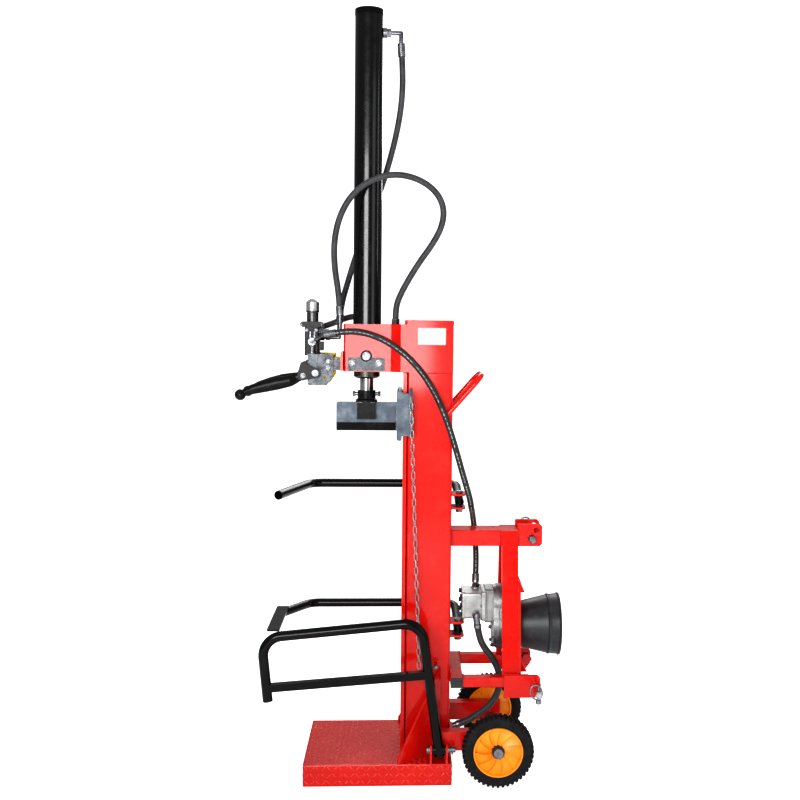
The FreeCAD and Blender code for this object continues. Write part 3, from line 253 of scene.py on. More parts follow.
def moulded(name, dark, light, dust, rough, grain=260, bump=0.18, **sockets):
    """Moulded rubber or plastic: fine leathery grain, a little dust, softened edges."""
    f = Finish(name, **sockets)
    drift, skin = f.noise(9, 5, 0.6), f.noise(grain, 3, 0.55)
    soft, edge = f.edges(0.0012, 0.86, 0.995)
    tone = f.ramp(drift, (0.3, dark), (0.72, light))
    tone = f.mix(f.span(f.noise(38, 6, 0.68), 0.0, 0.28, 0.5, 0.75), tone, (*dust, 1))
    f.link(f.mix(f.math("MULTIPLY", edge, 0.22), tone, (*dust, 1)), "Base Color")
    f.link(f.span(drift, rough * 0.85, rough * 1.2), "Roughness")
    f.relief((skin, bump, 0.0008), normal=soft)
    return f.material


def chrome():
    f = Finish("chrome_rod", Metallic=1.0)
    rings = f.noise(90, 3, 0.5, f.stretch(0.3, 0.3, 6))
    f.link(f.ramp(rings, (0.3, (0.25, 0.252, 0.257)), (0.7, (0.34, 0.345, 0.35))), "Base Color")
    f.link(f.span(rings, 0.09, 0.15), "Roughness")
    f.relief((rings, 0.01, 0.0002))
    return f.material


def hose_cover(name, print_rows):
    """Synthetic rubber hose: a faint wrapped-fabric pattern, and on one hose a broken pale line; the hoses
    without that line are painted paler, as a painted highlight.
    """
    f = Finish(name, Specular_IOR_Level=0.4)
    along = f.node("ShaderNodeTexCoord").outputs["UV"]
    parts = f.node("ShaderNodeSeparateXYZ", Vector=along)
    u, v = parts.outputs["X"], parts.outputs["Y"]
    weave = f.node("ShaderNodeTexWave", {"wave_type": "BANDS", "bands_direction": "DIAGONAL"},
                   Vector=f.node("ShaderNodeMapping", Vector=along, Scale=(260, 6, 1)).outputs["Vector"],
                   Scale=1.0, Distortion=0.4).outputs["Fac"]
    smudge = f.noise(30, 5, 0.65)
    # The hoses without print are made paler: a painted highlight.
    pale = 1.0 if print_rows else 1.7
    tone = f.ramp(smudge, (0.3, (0.016 * pale, 0.016 * pale, 0.018 * pale)),
                  (0.7, (0.045 * pale, 0.045 * pale, 0.048 * pale)))
    if print_rows:
        dash = f.math("LESS_THAN", f.math("FRACT", f.math("MULTIPLY", u, 96.0)), 0.68)
        group = f.math("LESS_THAN", f.math("FRACT", f.math("MULTIPLY", u, 9.6)), 0.87)
        band = f.math("LESS_THAN", f.math("ABSOLUTE", f.math("SUBTRACT", v, print_rows)), 0.017)
        mask = f.math("MULTIPLY", f.math("MULTIPLY", dash, group), band)
        rubbed = f.math("MULTIPLY", mask, f.span(f.noise(150, 4, 0.7), 0.15, 1.0, 0.38, 0.52))
        tone = f.mix(rubbed, tone, (0.50, 0.50, 0.49, 1))
    f.link(tone, "Base Color")
    f.link(f.span(smudge, 0.42, 0.66), "Roughness")
    f.relief((weave, 0.16, 0.0006), (f.noise(350, 2), 0.12, 0.0005))
    return f.material


def painted_pin():
    """Red enamel over a steel pin, rubbed off at the end where the tractor's link slides on."""
    f = Finish("hitch_pin_enamel", Specular_IOR_Level=0.4, Coat_Weight=0.2, Coat_Roughness=0.15)
    reach = f.math("ABSOLUTE", f.node("ShaderNodeSeparateXYZ", Vector=f.place).outputs["Y"])
    worn = f.noise(160, 4, 0.65)
    bare = f.span(f.math("ADD", reach, f.math("MULTIPLY", worn, 0.010)), 0.0, 1.0, 0.229, 0.236)
    red = f.ramp(f.noise(30, 4), (0.3, (0.42, 0.008, 0.004)), (0.7, (0.60, 0.02, 0.012)))
    steel = f.ramp(worn, (0.3, (0.30, 0.31, 0.32)), (0.7, (0.62, 0.63, 0.65)))
    f.link(f.mix(bare, red, steel), "Base Color")
    f.link(bare, "Metallic")
    f.link(f.span(worn, 0.28, 0.42), "Roughness")
    f.relief((worn, 0.08, 0.0008))
    return f.material


def wheel_plastic():
    f = Finish("wheel_yellow", Specular_IOR_Level=0.45, Coat_Weight=0.1, Coat_Roughness=0.3)
    drift = f.noise(14, 4, 0.6)
    soft, edge = f.edges(0.001, 0.86, 0.995)
    tone = f.ramp(drift, (0.3, (0.78, 0.25, 0.008)), (0.7, (0.90, 0.34, 0.014)))
    tone = f.mix(f.span(f.noise(60, 6, 0.7), 0.0, 0.35, 0.55, 0.78), tone, (0.42, 0.17, 0.02, 1))
    f.link(f.mix(f.math("MULTIPLY", edge, 0.3), tone, (1.0, 0.66, 0.16, 1)), "Base Color")
    f.link(f.span(drift, 0.32, 0.46), "Roughness")
    f.relief((f.noise(200, 3), 0.07, 0.0008), normal=soft)
    return f.material


RED = paint("red_enamel", (0.56, 0.007, 0.003), (0.68, 0.012, 0.005), (0.90, 0.16, 0.13), 0.30, 0.6)
# A lighter red for the checker lugs and the base's top edges: rubbed paint, and a painted highlight.
RUBBED_AND_HIGHLIT_RED = paint("tread_lugs_rubbed_and_highlit", (0.60, 0.013, 0.007), (0.76, 0.030, 0.020), (0.95, 0.36, 0.32), 0.26, 0.6)
BLACK = paint("black_enamel", (0.002, 0.002, 0.0025), (0.006, 0.006, 0.007), (0.03, 0.03, 0.032), 0.20, 0.28)
GLOSS = paint("cylinder_enamel", (0.0015, 0.0015, 0.002), (0.004, 0.004, 0.005), (0.012, 0.012, 0.013),
              0.22, 0.42, 0.40)
ZINC = plated("zinc_plated", (0.07, 0.072, 0.078), (0.30, 0.305, 0.32), 0.36, 120, 0.05)
GALVANISED = plated("galvanised_plate", (0.055, 0.06, 0.066), (0.19, 0.20, 0.215), 0.50, 260, 0.10, 0.5,
                     (0.62, 0.50, 0.07))
STEEL = plated("turned_steel", (0.07, 0.078, 0.095), (0.30, 0.31, 0.34), 0.38, 90, 0.05)
VALVE_CAP = plated("valve_cap_steel", (0.30, 0.30, 0.305), (0.55, 0.55, 0.56), 0.36, 90, 0.02, lower=1.514)
GLAND = plated("gland_steel", (0.030, 0.027, 0.024), (0.12, 0.11, 0.10), 0.32, 300, 0.08)
PLATE = scaled_steel("steel_plate")
BLADE = scaled_steel("blade_plate", 1.147)
BLOCK = black_block()
CHROME = chrome()
CAST = cast_metal("cast_aluminium_skin", (0.30, 0.30, 0.295), (0.56, 0.56, 0.55), 0.36)
HOUSING = cast_metal("gearbox_casting", (0.17, 0.17, 0.172), (0.40, 0.40, 0.40), 0.42, 0.46)
RUBBER = moulded("guard_rubber", (0.010, 0.013, 0.015), (0.026, 0.031, 0.035), (0.10, 0.10, 0.10),
                 0.52, 220, 0.16)
TYRE = moulded("tyre_rubber_skin", (0.010, 0.010, 0.011), (0.020, 0.020, 0.022), (0.07, 0.065, 0.06),
               0.70, 320, 0.3, Specular_IOR_Level=0.2)
CAP = moulded("plastic_cap", (0.012, 0.013, 0.015), (0.03, 0.032, 0.036), (0.10, 0.10, 0.10), 0.42, 300, 0.1)
IRON = moulded("lever_black", (0.004, 0.004, 0.0045), (0.012, 0.012, 0.013), (0.045, 0.045, 0.045),
               0.34, 190, 0.12, Coat_Weight=0.12, Coat_Roughness=0.15, Specular_IOR_Level=0.14)
BRONZE = plated("bearing_bronze_skin", (0.36, 0.20, 0.08), (0.55, 0.34, 0.15), 0.3, 300, 0.08)
YELLOW = wheel_plastic()
PIN = painted_pin()
LABEL = moulded("blank_label", (0.50, 0.47, 0.47), (0.62, 0.60, 0.60), (0.62, 0.40, 0.38), 0.45, 400, 0.03,
                Specular_IOR_Level=0.1)
HOSE, PRINTED = hose_cover("hose_cover", 0.0), hose_cover("hose_cover_printed", 0.45)
SLOTS = {"red_paint": RED, "black_paint": BLACK, "blade_steel": PLATE, "zinc_plate": ZINC,
         "bright_steel": STEEL, "rod_chrome": CHROME, "cast_aluminium": CAST, "black_rubber": RUBBER,
         "tyre_rubber": TYRE,
         "yellow_plastic": YELLOW, "black_plastic": CAP, "lever_iron": IRON, "bearing_bronze": BRONZE}
OWN_FINISH = {"rod_coupling": BLOCK, "splitting_blade": BLADE, "cylinder_gland": GLAND, "cylinder_tube": GLOSS,
              "lock_plates": GALVANISED, "valve_bracket": GALVANISED, "gearbox_housing": HOUSING,
              "hitch_pins": PIN, "trunnion_pins": STEEL, "valve_body": BLOCK, "valve_cap": VALVE_CAP}
for part in frame["record"]["subparts"]:
    for held in NODES[part["node"]].material_slots:
        held.material = OWN_FINISH.get(part["node"], SLOTS[part["material_slot"]])


# ---- helpers that make meshes ----
def add_piece(name, mesh, finish, body, smooth=None):
    """An object from a bmesh, that rides on a body and takes a slot's finish."""
    data = bpy.data.meshes.new(name)
    bmesh.ops.recalc_face_normals(mesh, faces=mesh.faces)
    mesh.to_mesh(data)
    mesh.free()
    data.materials.append(finish)
    made = bpy.data.objects.new(name, data)
    bpy.context.scene.collection.objects.link(made)
    if smooth is not None:
        data.shade_smooth()
        data.set_sharp_from_angle(angle=math.radians(smooth))
    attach(made, body)
    return made


def ring_about(mesh, centre, axis, side, outline, count, closed=True):
    """Turn an outline of (distance along the axis, radius) about the axis; returns the rows of vertices."""
    third = axis.cross(side)
    rows = []
    for k in range(count):
        a = 2 * math.pi * k / count
        out = side * math.cos(a) + third * math.sin(a)
        rows.append([mesh.verts.new(centre + axis * d + out * r) for d, r in outline])
    span = len(outline) if closed else len(outline) - 1
    for k in range(count):
        here, following = rows[k], rows[(k + 1) % count]
        for j in range(span):
            j2 = (j + 1) % len(outline)
            mesh.faces.new((here[j], here[j2], following[j2], following[j]))
    return rows


def block(mesh, corners_low, corners_high):
    """A closed solid between two loops of the same number of points."""
    low = [mesh.verts.new(p) for p in corners_low]
    high = [mesh.verts.new(p) for p in corners_high]
    mesh.faces.new(low)
    mesh.faces.new(high[::-1])
    count = len(low)
    for k in range(count):
        mesh.faces.new((low[k], low[(k + 1) % count], high[(k + 1) % count], high[k]))


def tube_along(mesh, points, radius, sides, closed=False):
    """A round bar through points, closed on itself or capped; radius is one number or one a point."""
    count = len(points)
    rows = []
    normal = None
    for k, p in enumerate(points):
        ahead = points[(k + 1) % count] if closed or k < count - 1 else p
        behind = points[k - 1] if closed or k > 0 else p
        way = (ahead - behind).normalized()
        if normal is None:
            normal = way.orthogonal().normalized()
        normal = (normal - way * normal.dot(way)).normalized()
        other = way.cross(normal)
        size = radius[k] if isinstance(radius, (list, tuple)) else radius
        turns = [2 * math.pi * j / sides for j in range(sides)]
        rows.append([mesh.verts.new(p + normal * (size * math.cos(a)) + other * (size * math.sin(a)))
                     for a in turns])
    last = count if closed else count - 1
    for k in range(last):
        here, following = rows[k], rows[(k + 1) % count]
        shift = 0
        if closed and k == count - 1:
            shift = min(range(sides), key=lambda s: (here[0].co - following[s].co).length)
        for j in range(sides):
            mesh.faces.new((here[j], here[(j + 1) % sides], following[(j + 1 + shift) % sides],
                            following[(j + shift) % sides]))
    if not closed:
        mesh.faces.new(rows[0][::-1])
        mesh.faces.new(rows[-1])


def turned(mesh, start, way, profile, sides=28):
    """A solid turned about a line from start along way; profile is (distance, radius) in order."""
    tube_along(mesh, [start + way * d for d, r in profile], [r for d, r in profile], sides)


def cap_screw(mesh, dark, seat, out, radius):
    """The washer and the socket head of a screw, standing out from its seat, with painted shade: a dark plug in
    the socket and a dark ring where the head meets the washer.
    """
    head = [(0, 1.42), (0.16, 1.45), (0.2, 1.36), (0.2, 0.97), (0.9, 1), (1, 0.90), (1.01, 0.56), (0.55, 0.54)]
    turned(mesh, seat, out, [(d * radius, r * radius) for d, r in head])
    # painted shade: a dark plug in the socket, and a dark ring between washer and head
    turned(dark, seat + out * radius * 0.5, out, [(0, radius * 0.5), (radius * 0.32, radius * 0.5)], 6)
    turned(dark, seat + out * radius * 0.19, out, [(0, radius * 1.07), (radius * 0.03, radius * 1.05)])


def hex_nut(mesh, seat, out, radius, height):
    """A nut on its seat, with the end of its stud standing out of it."""
    turned(mesh, seat, out, [(0, radius), (height * 0.85, radius), (height, radius * 0.86)], 6)
    turned(mesh, seat + out * height, out, [(-height * 0.2, radius * 0.55), (height * 0.35, radius * 0.52),
                                            (height * 0.45, radius * 0.40)])


def bead(mesh, start, end, radius=0.0026):
    """A rippled weld between two points."""
    count = max(4, round((end - start).length / 0.0026))
    points = [start.lerp(end, k / count) for k in range(count + 1)]
    tube_along(mesh, points, [radius * (1.0 if k % 2 else 0.84) for k in range(count + 1)], 8)


# ---- hoses ----
def hose(name, points, diameter, finish):
    """One hose on a smooth curve through its route; the route's length is the hose's own."""
    data = bpy.data.curves.new(name, "CURVE")
    data.dimensions = "3D"
    spline = data.splines.new("NURBS")
    spline.points.add(len(points) - 1)
    for place, point in zip(spline.points, points):
        place.co = (*point, 1.0)
    spline.order_u = 3
    spline.use_endpoint_u = True
    spline.resolution_u = 10
    data.bevel_depth = diameter / 2
    data.bevel_resolution = 6
    data.use_fill_caps = True
    data.materials.append(finish)
    made = bpy.data.objects.new(name + "_cover", data)
    bpy.context.scene.collection.objects.link(made)
    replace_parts(made, name)
    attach(made, "frame")


PRESSURE_HOSE = [
    (-0.212, -0.085, 1.443), (-0.165, -0.094, 1.452), (-0.085, -0.101, 1.437), (-0.005, -0.104, 1.392),
    (0.062, -0.106, 1.326), (0.112, -0.108, 1.248), (0.150, -0.107, 1.160), (0.178, -0.097, 1.072),
    (0.201, -0.084, 0.992), (0.217, -0.078, 0.940), (0.230, -0.058, 0.895), (0.236, -0.021, 0.862),
    (0.241, 0.027, 0.848), (0.247, 0.066, 0.816), (0.254, 0.086, 0.771), (0.258, 0.084, 0.722),
    (0.259, 0.060, 0.676), (0.257, 0.044, 0.628)]
RETURN_HOSE = [
    (-0.205, -0.024, 1.530), (-0.208, -0.027, 1.575), (-0.221, -0.042, 1.655), (-0.222, -0.060, 1.740),
    (-0.203, -0.074, 1.822), (-0.163, -0.082, 1.890), (-0.100, -0.084, 1.938), (-0.025, -0.084, 1.957),
    (0.050, -0.080, 1.942), (0.108, -0.074, 1.903), (0.134, -0.068, 1.850), (0.128, -0.060, 1.792),
    (0.098, -0.052, 1.735), (0.058, -0.044, 1.680), (0.022, -0.037, 1.622), (-0.008, -0.032, 1.566),
    (-0.021, -0.030, 1.526), (-0.021, -0.030, 1.490)]
CYLINDER_HOSE = [
    (-0.008, 0.000, 2.347), (-0.005, 0.002, 2.300), (-0.005, 0.008, 2.235), (-0.012, 0.020, 2.165),
    (-0.026, 0.038, 2.093), (-0.045, 0.058, 2.020), (-0.068, 0.074, 1.945), (-0.095, 0.082, 1.870),
    (-0.124, 0.082, 1.795), (-0.150, 0.073, 1.722), (-0.171, 0.060, 1.652), (-0.188, 0.046, 1.590),
    (-0.200, 0.032, 1.545), (-0.205, 0.024, 1.503)]
CROSS_HOSE = [
    (-0.262, 0.050, 1.462), (-0.232, 0.062, 1.472), (-0.197, 0.072, 1.488), (-0.163, 0.076, 1.497),
    (-0.135, 0.076, 1.497)]
SUCTION_HOSE = [
    (0.256, -0.072, 0.490), (0.262, -0.071, 0.452), (0.277, -0.066, 0.412), (0.308, -0.056, 0.372),
    (0.332, -0.050, 0.325), (0.337, -0.045, 0.281), (0.326, -0.042, 0.237), (0.300, -0.040, 0.200),
    (0.264, -0.040, 0.175), (0.230, -0.040, 0.152), (0.190, -0.040, 0.139)]

hose("pressure_hose", PRESSURE_HOSE, 0.020, PRINTED)
hose("return_hose", RETURN_HOSE, 0.020, HOSE)
hose("cylinder_hose", CYLINDER_HOSE, 0.020, HOSE)
hose("cross_hose", CROSS_HOSE, 0.020, HOSE)
hose("suction_hose", SUCTION_HOSE, 0.022, HOSE)


# ---- wheels ----
def make_tyre(name):
    """A solid rubber tyre: ribbed side walls and two rows of staggered blocks round the tread."""
    low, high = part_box("tyre_" + name)
    centre = Vector(((low.x + high.x) / 2, 0, (low.z + high.z) / 2))
    radius, inner = (high.z - low.z) / 2, 0.0795
    near = low.y
    width = high.y - near
    shoulder = 0.0045
    crown = radius - shoulder
    mesh = bmesh.new()

    def at(d, a, r):
        return Vector((centre.x + r * math.cos(a), near + d, centre.z + r * math.sin(a)))

    outline = [(0.004, inner), (0.0012, inner + 0.004), (0.0, inner + 0.010), (0.0016, inner + 0.0125),
               (0.0003, inner + 0.015), (0.0, crown - 0.010), (0.0024, crown - 0.004), (0.008, crown)]
    outline += [(width - d, r) for d, r in outline[::-1]]
    ring_about(mesh, Vector((centre.x, near, centre.z)), Y, X, outline, 96)
    blocks = 44
    for k in range(blocks):
        for row, start in ((0, 0.0), (1, 0.5)):
            angle = 2 * math.pi * (k + start) / blocks
            half = 2 * math.pi / blocks * 0.29
            d0, d1 = (0.0010, width * 0.47) if row == 0 else (width * 0.53, width - 0.0010)
            skew = half * 0.55 * (1 if row == 0 else -1)
            inside, outside = (d1, d0) if row == 0 else (d0, d1)
            lean = -1 if row == 0 else 1
            root = [at(outside, angle - half, crown - 0.0075), at(outside, angle + half, crown - 0.0075),
                    at(inside, angle + half + skew, crown - 0.0015),
                    at(inside, angle - half + skew, crown - 0.0015)]
            top = [at(outside - lean * 0.0006, angle - half * 0.8, radius - shoulder),
                   at(outside - lean * 0.0006, angle + half * 0.8, radius - shoulder),
                   at(outside - lean * shoulder, angle + half * 0.8, radius - 0.0003),
                   at(inside, angle + half * 0.8 + skew, radius - 0.0003),
                   at(inside, angle - half * 0.8 + skew, radius - 0.0003),
                   at(outside - lean * shoulder, angle - half * 0.8, radius - 0.0003)]
            r = [mesh.verts.new(p) for p in root]
            t = [mesh.verts.new(p) for p in top]
            mesh.faces.new((r[0], r[3], r[2], r[1]))
            mesh.faces.new((t[0], t[1], t[2], t[5]))
            mesh.faces.new((t[5], t[2], t[3], t[4]))
            mesh.faces.new((r[0], r[1], t[1], t[0]))
            mesh.faces.new((r[2], r[3], t[4], t[3]))
            mesh.faces.new((r[1], r[2], t[3], t[2], t[1]))
            mesh.faces.new((r[3], r[0], t[0], t[5], t[4]))
    made = add_piece("tyre_" + name + "_tread", mesh, TYRE, "wheel_" + name, 35)
    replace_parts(made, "tyre_" + name)


def make_rim(name):
    """A moulded wheel centre: stepped rim, ten curved fan blades that overlap like a turbine, and a hub."""
    low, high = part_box("rim_" + name)
    tyre_low, tyre_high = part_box("tyre_" + name)
    centre = Vector(((low.x + high.x) / 2, (tyre_low.y + tyre_high.y) / 2, (low.z + high.z) / 2))
    axis = Y
    mesh = bmesh.new()
    half = (tyre_high.y - tyre_low.y) / 2
    lip, seat = 0.0785, 0.0745
    flange = [(half - 0.010, seat - 0.0015), (half - 0.001, seat), (half + 0.0005, seat + 0.001),
              (half + 0.0008, lip), (half - 0.002, lip + 0.0013)]
    well = [(half - 0.0125, seat - 0.003), (0.004, seat - 0.006)]
    barrel = [(-d, r) for d, r in flange[1:]] + flange[:0:-1] + flange[:1] + well
    barrel += [(-d, r) for d, r in well[::-1]] + [(-flange[0][0], flange[0][1])]
    ring_about(mesh, centre, axis, X, barrel, 80)
    web = [(-0.006, 0.016), (0.006, 0.016), (0.006, 0.071), (-0.006, 0.071)]
    ring_about(mesh, centre, axis, X, web, 80)
    blades = 11
    for face in (-1, 1):
        for k in range(blades):
            start = 2 * math.pi * k / blades
            steps, rows = 7, 6
            grid = []
            for i in range(steps + 1):
                sweep = start + face * (2 * math.pi / blades) * 0.98 * i / steps
                line = []
                for j in range(rows + 1):
                    radius = 0.019 + (0.0725 - 0.019) * j / rows
                    angle = sweep + face * 0.30 * (j / rows) ** 1.3
                    rise = (half - 0.006) * (0.42 + 0.52 * (i / steps) ** 1.4) * (0.80 + 0.16 * j / rows)
                    line.append((angle, radius, rise))
                grid.append(line)
            top = [[mesh.verts.new(centre + axis * (face * h) + (X * math.cos(a) + Z * math.sin(a)) * r)
                    for a, r, h in line] for line in grid]
            under = [[mesh.verts.new(centre + axis * (face * 0.003) + (X * math.cos(a) + Z * math.sin(a)) * r)
                      for a, r, h in line] for line in grid]
            for i in range(steps):
                for j in range(rows):
                    mesh.faces.new((top[i][j], top[i + 1][j], top[i + 1][j + 1], top[i][j + 1]))
                    mesh.faces.new((under[i][j + 1], under[i + 1][j + 1], under[i + 1][j], under[i][j]))
            for i in range(steps):
                mesh.faces.new((top[i][0], under[i][0], under[i + 1][0], top[i + 1][0]))
                mesh.faces.new((top[i + 1][rows], under[i + 1][rows], under[i][rows], top[i][rows]))
            for j in range(rows):
                mesh.faces.new((top[0][j + 1], under[0][j + 1], under[0][j], top[0][j]))
                mesh.faces.new((top[steps][j], under[steps][j], under[steps][j + 1], top[steps][j + 1]))
    made = add_piece("rim_" + name + "_moulding", mesh, YELLOW, "wheel_" + name, 28)
    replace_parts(made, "rim_" + name)
    hub = bmesh.new()
    reach = (high.y - low.y) / 2 - 0.0006
    ring_about(hub, Vector((centre.x, (low.y + high.y) / 2, centre.z)), axis, X,
               [(-reach, 0.0102), (-reach, 0.0175), (-reach + 0.0015, 0.0190), (-reach + 0.008, 0.0205),
                (reach - 0.008, 0.0205), (reach - 0.0015, 0.0190), (reach, 0.0175), (reach, 0.0102)], 48)
    add_piece("hub_" + name + "_sleeve", hub, CAP, "wheel_" + name, 30)


for name in ("near", "far"):
    make_tyre(name)
    make_rim(name)


# ---- lifting chain ----
def make_chain():
    """Welded links, every second one turned a quarter, from the slider's hook to the pin below."""
    low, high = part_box("lift_chain")
    top, foot = Vector((0.031, -0.114, high.z - 0.001)), Vector((0.066, -0.104, low.z + 0.001))
    way = (foot - top).normalized()
    pitch = 0.0222
    count = round((top - foot).length / pitch)
    pitch = (top - foot).length / count
    wire, half_width = 0.0019, 0.0052
    half_length = pitch / 2 + wire
    front = (Y - way * Y.dot(way)).normalized()
    mesh = bmesh.new()
    drift = random.Random(7)
    for k in range(count):
        middle = top + way * pitch * (k + 0.5)
        twist = math.radians(22 + (90 if k % 2 else 0) + drift.uniform(-9, 9))
        side = Matrix.Rotation(twist, 3, way) @ front
        loop = []
        straight = half_length - half_width
        for quarter in range(16):
            a = 2 * math.pi * quarter / 16
            s, c = math.sin(a), math.cos(a)
            along = straight * (1 if c > 0 else -1) + half_width * c if abs(c) > 1e-6 else 0.0
            loop.append(middle + way * along + side * (half_width * s))
        tube_along(mesh, loop, wire, 8, closed=True)
    made = add_piece("lift_chain_links", mesh, CHAIN, "frame", 60)
    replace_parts(made, "lift_chain")
    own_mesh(made)


CHAIN = plated("chain_zinc", (0.20, 0.20, 0.21), (0.50, 0.50, 0.51), 0.28, 320, 0.06)
make_chain()


# ---- checker plate ----
def make_checker():
    """Raised lens-shaped lugs, alternately leaning left and right, on the base's top and sides."""
    low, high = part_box("base_plate")
    mesh = bmesh.new()

    def lug(centre, along, across, out, flip):
        angle = math.radians(45 if flip else -45)
        a = along * math.cos(angle) + across * math.sin(angle)
        b = across * math.cos(angle) - along * math.sin(angle)
        half, wide, rise = 0.0092, 0.0027, 0.0013
        rim = [centre + a * (half * math.cos(t)) + b * (wide * math.sin(t)) - out * 0.0004
               for t in [2 * math.pi * k / 8 for k in range(8)]]
        crest = [centre + a * (half * 0.55 * math.cos(t)) + b * (wide * 0.45 * math.sin(t)) + out * rise
                 for t in [2 * math.pi * k / 8 for k in range(8)]]
        block(mesh, rim, crest)

    pitch = 0.0178
    margin = 0.012

    def sheet(origin, along, across, out, long, wide, skip=None):
        columns, rows = int((long - 2 * margin) / pitch), int((wide - 2 * margin) / pitch)
        for i in range(columns + 1):
            for j in range(rows + 1):
                u = margin + i * (long - 2 * margin) / max(columns, 1)
                v = margin + j * (wide - 2 * margin) / max(rows, 1)
                place = origin + along * u + across * v
                if skip is None or not skip(place):
                    lug(place, along, across, out, (i + j) % 2)

    def covered(p):
        inside_column = 0.0 < p.x < 0.178 and abs(p.y) < 0.098
        under_beam = p.x > 0.138 and 0.105 < abs(p.y) < 0.162
        under_lug = 0.092 < p.x < 0.168 and -0.204 < p.y < -0.155
        under_gusset = abs((p.x - 0.132) * 0.628 - (abs(p.y) - 0.077) * -0.778) < 0.012 and abs(p.y) > 0.07
        return inside_column or under_beam or under_lug or under_gusset

    sheet(Vector((low.x, low.y, high.z)), X, Y, Z, high.x - low.x, high.y - low.y, covered)
    tall = high.z - low.z
    sheet(Vector((low.x, low.y, low.z)), X, Z, -Y, high.x - low.x, tall)
    sheet(Vector((low.x, high.y, low.z)), X, Z, Y, high.x - low.x, tall)
    sheet(Vector((low.x, low.y, low.z)), Y, Z, -X, high.y - low.y, tall)
    sheet(Vector((high.x, low.y, low.z)), Y, Z, X, high.y - low.y, tall)
    # The lugs take the lighter red, partly rubbed paint and partly a painted highlight.
    add_piece("checker_lugs", mesh, RUBBED_AND_HIGHLIT_RED, "frame", 40)


make_checker()


# ---- pins, screws and rings ----
def make_hitch_pins():
    """The top link's pin, and the linch pins with their spring rings."""
    mesh = bmesh.new()
    low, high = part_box("hitch_pins")
    lower_x, lower_y, lower_z = (low.x + high.x) / 2, high.y - 0.012, (low.z + high.z) / 2
    mast_height = 0.460
    top = Vector((lower_x - 0.007, 0, lower_z + mast_height))
    ring_long, ring_short, wire = 0.0235, 0.0185, 0.0027
    turned(mesh, top - Y * 0.066, Y,
           [(0, 0.0095), (0.002, 0.0120), (0.004, 0.0125), (0.133, 0.0125), (0.136, 0.010)], 36)
    for centre, way, ring_centre, swing in (
            (top + Y * 0.060, Z, Vector((-0.014, 0.004, 0.029)), 0.5),
            (Vector((lower_x, -lower_y, lower_z)), -Z, Vector((-0.009, -0.0085, 0.010)), -0.35),
            (Vector((lower_x, lower_y, lower_z)), -Z, Vector((-0.009, 0.0085, 0.010)), -0.35)):
        turned(mesh, centre - way * 0.026, way,
               [(0, 0.002), (0.006, 0.0042), (0.040, 0.0045), (0.041, 0.0065), (0.043, 0.0092),
                (0.053, 0.0098), (0.056, 0.0075)], 24)
        middle = centre + ring_centre
        tilt = Vector((math.sin(swing), 0, math.cos(swing)))
        across = Y.cross(tilt)
        loop = [middle + tilt * (ring_long * math.cos(a)) + across * (ring_short * math.sin(a))
                for a in [2 * math.pi * k / 40 for k in range(40)]]
        tube_along(mesh, loop, wire, 10, closed=True)
    made = add_piece("linch_pins_and_top_pin", mesh, STEEL, "frame", 35)
    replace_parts(made, "top_link_and_linch_pins")


def make_valve_trim():
    """Studs, screws, a plunger guide and the union's clip on the valve."""
    low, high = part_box("valve_body")
    # dark holds the painted shade in the screws' sockets and under their heads
    mesh, dark = bmesh.new(), bmesh.new()
    for y in (-0.013, 0.013):
        hex_nut(mesh, Vector((low.x, y, high.z - 0.009)), -X, 0.0075, 0.006)
        hex_nut(mesh, Vector((high.x - 0.009, y, high.z - 0.009)), X, 0.0075, 0.006)
    for x in (low.x + 0.016, low.x + 0.047):
        for side in (-1, 1):
            cap_screw(mesh, dark, Vector((x, side * high.y, high.z - 0.028)), Y * side, 0.0042)
    plunger = Vector((low.x + 0.035, low.y - 0.011, low.z + 0.003))
    turned(mesh, plunger, Z,
           [(0, 0.0085), (0.003, 0.0105), (0.010, 0.0105), (0.011, 0.0085), (0.028, 0.0085),
            (0.030, 0.007)], 24)
    turned(mesh, plunger + Z * 0.027, Z, [(0, 0.011), (0.006, 0.011), (0.0065, 0.009)], 6)
    clip_foot, clip_top, clip_width = low.z + 0.056, low.z + 0.078, 0.004
    for x in (low.x + 0.025, low.x + 0.039):
        corners = ((x, clip_foot), (x, clip_top), (x + clip_width, clip_top), (x + clip_width, clip_foot))
        block(mesh, [Vector((a, low.y - 0.0005, b)) for a, b in corners],
              [Vector((a, low.y - 0.0025, b)) for a, b in corners])
    add_piece("valve_trim", mesh, ZINC, "frame", 30)
    screws = bmesh.new()
    lock_low, lock_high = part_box("lock_plates")
    bracket_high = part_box("valve_bracket")[1]
    for side in (-1, 1):
        for x in (lock_low.x + 0.015, lock_high.x - 0.017):
            cap_screw(screws, dark, Vector((x, side * lock_high.y, lock_high.z - 0.018)), Y * side, 0.0088)
        for drop in (0.024, 0.044):
            seat = Vector((bracket_high.x - 0.039, side * bracket_high.y, bracket_high.z - drop))
            cap_screw(screws, dark, seat, Y * side, 0.0062)
    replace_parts(add_piece("cap_screws", screws, ZINC, "frame", 30), "socket_screws")
    add_piece("screw_painted_shade", dark, CAP, "frame", 30)
    lever_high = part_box("lever_far")[1]
    for name, side in (("n", -1), ("f", 1)):
        # The second mesh is painted shade in the screw's socket and under its head.
        bolt, socket_shade = bmesh.new(), bmesh.new()
        seat = Vector((lever_high.x - 0.0555, side * (lever_high.y - 0.0125), lever_high.z - 0.0486))
        cap_screw(bolt, socket_shade, seat, Y * side, 0.0066)
        add_piece("lever_screw_" + name, bolt, ZINC, "lever_" + name, 30)
        add_piece("lever_painted_shade_" + name, socket_shade, CAP, "lever_" + name, 30)


